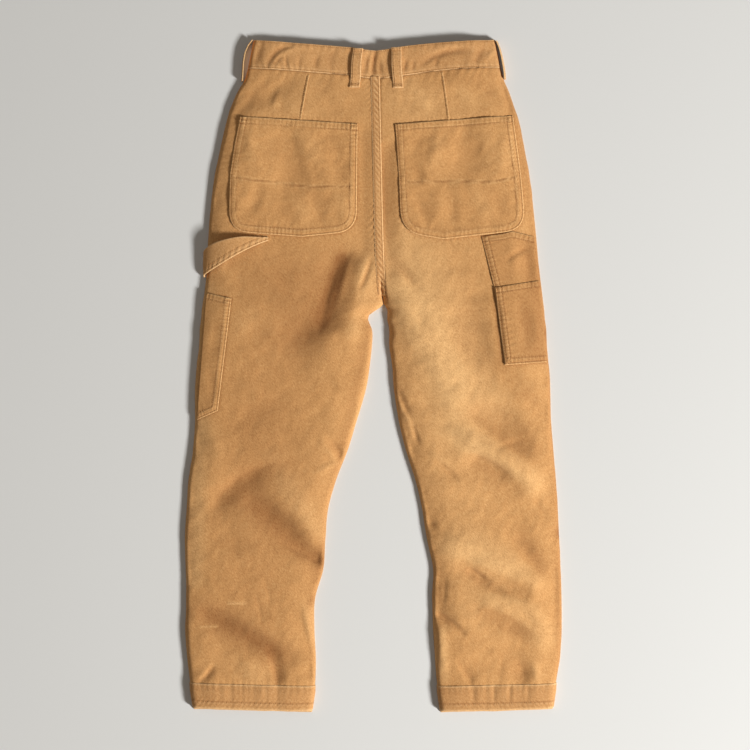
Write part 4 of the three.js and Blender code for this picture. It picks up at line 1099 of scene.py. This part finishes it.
# Ways down the leg and out from it, at the top edge and then from the bottom fold on.
top_edge = np.array([(0.0, 0.3), (-0.2, 0.6), (0.1, 0.95)])
bottom_fold = np.array([
    (1.4, 1.75), (2.6, 1.2), (3.2, 0.2), (2.7, -0.7), (1.6, -1.2), (0.3, -1.5), (0.3, 0.3),
])
face_along = np.linspace(1.0, cuff_height, 22)
face = np.stack([face_along, mix(1.1, 2.0, smooth(0, 12, face_along))], -1)
section_along, section_out = np.concatenate([top_edge, face, bottom_fold + (cuff_height, 0)]).T
on_face = np.concatenate([[0, 0, 0.3], smooth(-6, 10, face_along), [0.6, 0.3], np.zeros(5)])
for number, side in enumerate(("left", "right")):
    leg = legs[side]
    rings = []
    for level in (cuff_level, leg_end):
        x, y, levels, from_outer, from_inner = leg_grid(side, np.array([float(level)]), *back_grid)
        fine = wrinkles_down(side, x, y, levels)[0] * smooth(1.5, 9, np.minimum(from_outer, from_inner))
        back_row = places(x, y, back_height(x, levels, from_outer, from_inner) + fine)[0]
        x, y, levels = leg_grid(side, np.array([float(level)]), *front_grid)[:3]
        front_row = places(x, y, hem_rise(levels))[0]
        rings.append(np.concatenate([back_row, front_row[::-1]]))
    start, end = rings
    backs = len(back_row)
    slope = np.gradient(start[:backs], axis=0)
    normal = places(-slope[:, 2], 0, slope[:, 0]) * leg["inward"]
    normal /= np.linalg.norm(normal, axis=1, keepdims=True)
    normal[0], normal[-1] = (-leg["inward"], 0, 0), (leg["inward"], 0, 0)
    under = np.tile([0.0, 0.0, -1.0], (len(front_row), 1))
    under[0], under[-1] = (leg["inward"], 0, -1), (-leg["inward"], 0, -1)
    normal = np.concatenate([normal, under])
    down = end - start
    down /= np.linalg.norm(down, axis=1, keepdims=True)
    around = np.concatenate([[0], np.cumsum(np.linalg.norm(np.diff(end, axis=0), axis=1))])[:, None]
    is_back = (np.arange(len(start)) < backs)[:, None]
    along, out = section_along[None, :], section_out[None, :]
    row_waves = pucker(around, 6.8, 200 + number)
    roping = 0.42 * pucker(around + 0.8 * along, 6.8, 200 + number) * bell(along - cuff_row - 2, 8)
    roping = roping + 0.32 * pucker(around, 7.8, 210 + number) * bell(along - 3, 6)
    fine = roping + 0.45 * soft_noise(around, along, 19, 220 + number) - 0.42 * bell(along - cuff_row, 0.9)
    for place, depth in cuff_folds[side]:
        fine = fine + depth * bell(start[:, :1] - place, 3.6) * smooth(34, 6, along)
    from_side = np.minimum(*(np.abs(start[:, :1] - start[at, 0]) for at in (0, backs - 1)))
    fine = np.where(is_back, fine * smooth(0, 7, from_side), np.minimum(fine, 0))
    out = out + fine * on_face[None, :]
    hang = np.where(is_back, 0, 2.6 + 0.9 * soft_noise(around, 3.0, 40, 230 + number))
    flutter = 0.5 * soft_noise(around, 7.0, 16, 240 + number) * smooth(20, 34, along)
    hang = hang * smooth(10, 34, along) + flutter
    points = start[:, None] + down[:, None] * (along + hang)[..., None] + normal[:, None] * out[..., None]
    points[..., 2] = np.maximum(points[..., 2], 0.02)
    count, size = points.shape[:2]
    index = np.arange(count * size).reshape(count, size)
    beside, below = np.roll(index, -1, axis=0), np.roll(index, -1, axis=1)
    faces = np.stack([index, beside, np.roll(beside, -1, axis=1), below], -1).reshape(-1, 4)
    # Abraded top edge and bottom fold, and a paler row with painted highlights on its waves. Painted shade
    # in the row's groove, between the rope's waves, and a little over the whole cuff.
    worn_and_painted_light = 1.1 * bell(along, 1.5) + 0.7 * bell(along - cuff_height - 2, 2.2)
    worn_and_painted_light = worn_and_painted_light + 0.30 * bell(along - cuff_row - 2.5, 1.6) * (0.6 + 0.6 * row_waves)
    dark = 0.42 * bell(along - cuff_row, 1.0) + 0.3 * np.clip(-roping, 0, 1) + 0.20
    worn_and_painted_light, dark = np.clip(worn_and_painted_light, 0, 0.95).ravel(), np.clip(dark, 0, 0.8).ravel()
    cuff = closed_piece(f"cuff_{side}_cloth", points.reshape(-1, 3), faces, trim, "canvas_trim", worn_and_painted_light, dark)
    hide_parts(f"cuff_{side}")
    spot = int(np.argmin(np.abs(section_along - cuff_row)))
    stitch_lines.append(points[4:backs - 4, spot] + normal[4:backs - 4] * 0.15)

# The waistband.
# A straight doubled strip, folded at its top edge and sewn on over the panels' raw edges with a row
# of thread along each edge. The back half runs from side to side over both panels.
band_cloth = 2.2
band_left, band_right, band_rise = (-181, -173), (187.5, 180), 0.8
band_creases = [
    (-151, 447, -118, 476, 7, 5, 3.5, -1.3), (-139, 447, -129, 461, 3, 3, 2.4, -0.8),
    (-123, 446, -124.5, 463, 0.5, 2, 1.6, -0.9), (-104, 445, -105, 459, 0.5, 2.4, 2, -0.7),
    (-128, 466, -96, 474, 4, 8, 5, 0.8), (-82, 444, -78, 462, 1, 4, 3, -0.7),
    (-60, 443, -54, 470, 2, 7, 5, -0.7), (-10, 436, -5, 462, 1, 4, 2.4, -1.1),
    (1, 434, 5, 471, 1.5, 2.6, 4, -2.2), (14, 433, 11, 456, 0.6, 4, 2.4, -1.2),
    (-16, 466, -4, 472, 0, 4, 4, 0.7), (48, 440, 50, 457, 1, 3, 2.2, -0.9),
    (60, 441, 61, 455, 1, 3, 2.2, -0.8), (74, 451, 138, 468, 7, 6, 4, -1.2),
    (84, 462, 128, 478, 4, 8, 6, 0.8), (92, 446, 96, 458, 1, 3, 2.4, -0.8),
    (150, 450, 162, 474, 1, 6, 5, -1.0), (168, 458, 178, 470, 1, 4, 3, 0.8),
    (-166, 452, -160, 478, 2, 6, 5, -0.8),
]
band_creases_gain = 1.5
# The rows' places up the band where it is this deep. Elsewhere they keep their share of its depth.
band_rows, band_depth = (1.9, 39.8), 41.7
# The round depth by which its points are spaced.
spacing_depth = 42


def band_height(from_left, from_right):
    """The plain outside of the waistband's back half."""
    edge = rolled(from_left) * rolled(from_right)
    swell = crowned(from_left) * crowned(from_right)
    raised = cloth + seam_gap + roll_height + band_rise
    return mix(band_cloth + seam_gap, raised, edge) + crown(waist_level) * swell


def band_grid(across, up):
    """Places over the waistband, from side to side and from its seam to its top edge."""
    left, right = mix(*band_left, up), mix(*band_right, up)
    x = mix(left, right, across)
    return x, mix(waist_seam(x) + seam_gap, waist_top(x), up), x - left, right - x


def band_fine(x, y, from_seam, depth):
    """The sewing's puckers and the creases of the waistband, with painted shade, abraded places and painted
    highlights.
    """
    creased = band_creases_gain * crease_height(x, y, band_creases)
    waves = pucker(x + 0.3 * from_seam, 9.2, 253)
    height = creased + 1.0 * soft_noise(x, y, 26, 251) + 0.42 * soft_noise(x, y, 10, 252)
    height += 0.62 * bell(from_seam - 5, 6) * waves
    height += 0.30 * bell(from_seam - depth + 5, 4.5) * pucker(x, 10.5, 254)
    # Painted shade in the creases, in the rows' grooves and in the puckers' hollows, and more of it towards
    # the right end. Painted highlight on the creases' crests. Abraded edges and a paler band by the lower
    # row.
    dark = 0.2 * np.clip(-creased, 0, 2.5) + 0.12 * smooth(40, 80, x)
    for row in band_rows:
        groove = bell(from_seam - row * depth / band_depth, 0.85)
        height -= 0.40 * groove
        dark += 0.35 * groove
    dark += 0.22 * bell(from_seam - 4, 4) * np.clip(-waves, 0, 1)
    edge = np.minimum(from_seam, depth - from_seam)
    height -= 0.8 * (1 - smooth(0, 0.9, edge))
    worn_and_painted_light = 0.08 * np.clip(creased, 0, 1) + 0.9 * bell(edge, 1.2) + 0.25 * bell(from_seam - 4.4, 1.4)
    return height, np.clip(dark, 0, 0.8), np.clip(worn_and_painted_light, 0, 0.95)


up = grade(spacing_depth, 2.0)[:, None]
span = band_right[0] - band_left[0]
middle = np.linspace(edge_steps[-1], span - edge_steps[-1], 160)[1:-1]
across = np.concatenate([edge_steps, middle, span - edge_steps[::-1]])[None, :] / span
x, y, from_left, from_right = band_grid(across, up)
depth = waist_top(x) - waist_seam(x) - seam_gap
fine, dark, worn_and_painted_light = band_fine(x, y, up * depth, depth)
fine = fine * smooth(2, 10, np.minimum(from_left, from_right))
outer = places(x, y, band_height(from_left, from_right) + fine)
inner = lower_face(outer, 1.8)
inner[:, 0, 2], inner[:, -1, 2] = outer[:, 0, 2], outer[:, -1, 2]
band = shell("waistband_back_cloth", outer, inner, trim, "canvas_trim", worn_and_painted_light, dark)
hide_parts("waistband_back")
for row in band_rows:
    x = np.linspace(-170, 177, 140)
    depth = waist_top(x) - waist_seam(x) - seam_gap
    share = row / band_depth
    y = waist_seam(x) + seam_gap + share * depth
    plain = band_height(x - mix(*band_left, share), mix(*band_right, share) - x)
    stitch_lines.append(places(x, y, plain + band_fine(x, y, share * depth, depth)[0] + 0.22))

# The waistband's front halves.
# The left half laps over the right one at the closing, which is hidden underneath, so the right
# half's end lies higher, with the button below both.
button_floor_gap, button_thickness = 0.2, 2.2
lap_lift = button_floor_gap + button_thickness + seam_gap
halves = {
    "left": (band_left[0], 26, lambda x: lap_lift * smooth(-34, -6, x)),
    "right": (-14, band_right[0], lambda x: (lap_lift + band_cloth + seam_gap) * smooth(62, 28, x)),
}
for side, (low_x, high_x, lift) in halves.items():
    across = (np.linspace(low_x, high_x, 64)[None, :] - band_left[0]) / span
    up = np.linspace(0, 1, 16)[:, None]
    x, y, from_left, from_right = band_grid(across, up)
    z = lift(x)
    edge = np.minimum(up, 1 - up) * spacing_depth
    top = z + 1.9 - 0.5 * (1 - smooth(0, 1.5, edge))
    half = shell(f"waistband_front_{side}_cloth", places(x, y, z), places(x, y, top), trim, "canvas_trim",
                 0.8 * bell(edge, 1.4))
    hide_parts(f"waistband_front_{side}")

# The belt loops.
# Four narrow doubled straps with a row of sewing down each edge and their ends folded under. The two
# by the centre seam stand off the waistband, and the two at the sides have turned on edge.
strap_half, strap_length, strap_cloth = 7.25, 57, 1.7
# Lower end x, y, upper end x, y.
centre_loops = {
    "belt_loop_back_left": (-25.5, 416, -20.5, 472.5),
    "belt_loop_back_right": (37.5, 415, 34.5, 474),
}
stand_off = curve_through([0, 0.1, 0.3, 0.55, 0.78, 0.92, 1], [0.35, 0.35, 1.9, 2.3, 1.8, 0.4, 0.4])
for number, (name, (low_x, low_y, high_x, high_y)) in enumerate(centre_loops.items()):
    share = np.linspace(0, 1, 60)[:, None]
    across = strap_shares(0.82, 15)
    middle_x, middle_y = mix(low_x, high_x, share), mix(low_y, high_y, share)
    side = name.rsplit("_", 1)[1]
    base = np.zeros(len(share))
    for step in (-3, 0, 3):
        for offset in (-strap_half, 0, strap_half):
            px, py = middle_x[:, 0] + offset, middle_y[:, 0] + step
            on_band = band_height(px - band_left[0], band_right[0] - px)
            base = np.maximum(base, np.where(py > waist_seam(px), on_band, back_at(side, px, py)))
    base = np.convolve(np.pad(base, 4, "edge"), np.ones(9) / 9, "valid") + 0.25
    from_side, from_end = strap_half * (1 - np.abs(across)), np.minimum(share, 1 - share) * strap_length
    edge = np.minimum(from_side, from_end)
    z = base[:, None] + stand_off(share) + 2.0 - 0.35 * across ** 2
    z = z + 0.5 * (1 - smooth(4, 6, from_end)) - 0.5 * (1 - smooth(0, 0.8, edge))
    z = z - 0.30 * bell(from_side - 1.9, 0.7) + 0.12 * pucker(share * strap_length, 5.5, 260 + number)
    bend = 0.5 * np.sin(share * 7 + number)
    outer = places(middle_x + across * strap_half + bend, middle_y, z)
    # Abraded edges and a paler band by each row. Painted shade in the rows' grooves and by the folded ends.
    worn_and_painted_light = 0.85 * bell(edge, 1.2) + 0.25 * bell(from_side - 3.6, 1.0)
    dark = 0.40 * bell(from_side - 1.9, 0.8) + 0.35 * bell(from_end - 5, 1.0)
    loop = shell(f"{name}_cloth", outer, outer - (0, 0, strap_cloth), trim, "canvas_trim", worn_and_painted_light, dark)
    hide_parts(name)
    for column in (6, 16):
        stitch_lines.append(outer[3:-3, column] + (0, 0, 0.2))
    for row in (3, 5, -4, -6):
        stitch_lines.append(outer[row, 4:19] + (0, 0, 0.2))

# Which way the cloth lies from its outer face, and the line of that face from the top down.
side_loops = {
    "belt_loop_side_left": (
        1, [(-175.5, 486), (-181, 479), (-186, 468), (-188.4, 454), (-189.2, 441), (-190, 427)]),
    "belt_loop_side_right": (
        -1, [(182.7, 485), (187, 474), (190, 462), (192.4, 449), (194, 439), (194.4, 430)]),
}
loop_low, loop_high = 0.4, 11.4
for number, (name, (towards, line)) in enumerate(side_loops.items()):
    spots = along_line(line, np.linspace(0, 1, 50))
    rise = np.concatenate([[0, 0.03, 0.08], np.linspace(0.16, 0.84, 9), [0.92, 0.97, 1]])
    z = mix(loop_low, loop_high, rise)[None, :]
    from_side = np.minimum(rise, 1 - rise)[None, :] * (loop_high - loop_low)
    dent = 0.35 * (1 - smooth(0, 0.9, from_side)) + 0.25 * bell(from_side - 1.9, 0.7)
    lean = 2.0 * (rise[None, :] - 0.5)
    outer = places(spots[:, :1] + towards * (dent + lean), spots[:, 1:], z)
    inner = places(spots[:, :1] + towards * (1.8 + lean), spots[:, 1:], z)
    loop = shell(f"{name}_cloth", outer, inner, trim, "canvas_trim", 0.85 * bell(from_side, 1.2))
    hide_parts(name)
    for column in (3, 11):
        stitch_lines.append(outer[2:-2, column] - (towards * 0.15, 0, 0))

# The sewing.
# Polyester-wrapped cotton thread of about the cloth's colour. Each stitch is a short plump bar in
# the row's groove, set at an even pitch and a little uneven in turn and length.
thread_colours = {"Cloth": (0.56, 0.29, 0.105), "Worn And Painted Light": (0.74, 0.44, 0.19), "Deep Dye And Painted Shade": (0.40, 0.18, 0.055)}
thread = cloth_material("sewing_thread", thread_colours, 0.8)
stitch_values = {"Pitch": 3.1 * mm, "Length": 2.5 * mm, "Thickness": 0.72 * mm, "Seed": 7, "Thread": thread}


def stitch_tree():
    """Sets stitches along every line of the piece it is given."""
    tree = bpy.data.node_groups.new("stitch_rows", "GeometryNodeTree")
    add_sockets(tree, "INPUT", {"Geometry": "Geometry", "Pitch": "Float", "Length": "Float",
                                "Thickness": "Float", "Seed": "Int", "Thread": "Material"})
    add_sockets(tree, "OUTPUT", {"Geometry": "Geometry"})
    given = put(tree, "NodeGroupInput").outputs
    lines = put(tree, "GeometryNodeMeshToCurve", [("Mesh", given["Geometry"])])
    spots = put(tree, "GeometryNodeResampleCurve",
                [("Curve", lines.outputs["Curve"]), ("Length", given["Pitch"])], mode="LENGTH")
    bar = put(tree, "GeometryNodeMeshUVSphere", [("Segments", 6), ("Rings", 4), ("Radius", 0.5)])
    size = put(tree, "ShaderNodeCombineXYZ",
               [(0, given["Length"]), (1, given["Thickness"]), (2, given["Thickness"])])
    smoothed = put(tree, "GeometryNodeSetShadeSmooth", [("Geometry", bar.outputs["Mesh"])])
    shaped = put(tree, "GeometryNodeTransform",
                 [("Geometry", smoothed.outputs["Geometry"]), ("Scale", size.outputs[0])])
    way = put(tree, "GeometryNodeInputTangent")
    turn = put(tree, "FunctionNodeAlignRotationToVector", [("Vector", way.outputs[0])], axis="X")
    uneven = put(tree, "FunctionNodeRandomValue",
                 [(0, (0.86, 0.85, 0.85)), (1, (1.06, 1.15, 1.1)), ("Seed", given["Seed"])],
                 data_type="FLOAT_VECTOR")
    placed = put(tree, "GeometryNodeInstanceOnPoints",
                 [("Points", spots.outputs["Curve"]), ("Instance", shaped.outputs["Geometry"]),
                  ("Rotation", turn.outputs[0]), ("Scale", uneven.outputs[0])])
    real = put(tree, "GeometryNodeRealizeInstances", [("Geometry", placed.outputs["Instances"])])
    painted = put(tree, "GeometryNodeSetMaterial",
                  [("Geometry", real.outputs["Geometry"]), ("Material", given["Thread"])])
    put(tree, "NodeGroupOutput", [("Geometry", painted.outputs["Geometry"])])
    return tree


points = np.concatenate(stitch_lines) * mm
starts = np.cumsum([0] + [len(line) for line in stitch_lines])
edges = [(i, i + 1) for start, end in zip(starts[:-1], starts[1:]) for i in range(start, end - 1)]
guide_mesh = bpy.data.meshes.new("stitch_guides")
guide_mesh.from_pydata(points.tolist(), edges, [])
guide = bpy.data.objects.new("stitch_guides", guide_mesh)
bpy.context.collection.objects.link(guide)
tree = stitch_tree()
rows_modifier = guide.modifiers.new("stitch_rows", "NODES")
rows_modifier.node_group = tree
for item in tree.interface.items_tree:
    if item.item_type == "SOCKET" and item.in_out == "INPUT" and item.name in stitch_values:
        rows_modifier[item.identifier] = stitch_values[item.name]
bpy.context.view_layer.update()
evaluated = guide.evaluated_get(bpy.context.evaluated_depsgraph_get())
stitch_mesh = bpy.data.meshes.new_from_object(evaluated)
stitch_mesh.name = "stitches"
guide.modifiers.remove(rows_modifier)
bpy.data.objects.remove(guide)
stitches = bpy.data.objects.new("stitches", stitch_mesh)
bpy.context.collection.objects.link(stitches)
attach(stitches, "root")

# The waist button.
# A dished metal button, sewn to the left end of the waistband. It lies face down underneath.
metal = bpy.data.materials.new("aged_metal")
metal.use_nodes = True
metal_tree = metal.node_tree
metal_shader = metal_tree.nodes["Principled BSDF"]
metal_place = put(metal_tree, "ShaderNodeTexCoord").outputs["Object"]
tarnish = put(metal_tree, "ShaderNodeTexNoise",
              [("Vector", metal_place), ("Scale", 320), ("Detail", 3)]).outputs[0]
tint = blend(metal_tree, tarnish, (0.36, 0.24, 0.12, 1), (0.62, 0.47, 0.28, 1))
metal_tree.links.new(tint, metal_shader.inputs["Base Color"])
dull = calculate(metal_tree, "ADD", calculate(metal_tree, "MULTIPLY", tarnish, 0.35), 0.25)
metal_tree.links.new(dull, metal_shader.inputs["Roughness"])
metal_shader.inputs["Metallic"].default_value = 1.0
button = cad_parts["waist_button"]
button.data.materials.clear()
button.data.materials.append(metal)
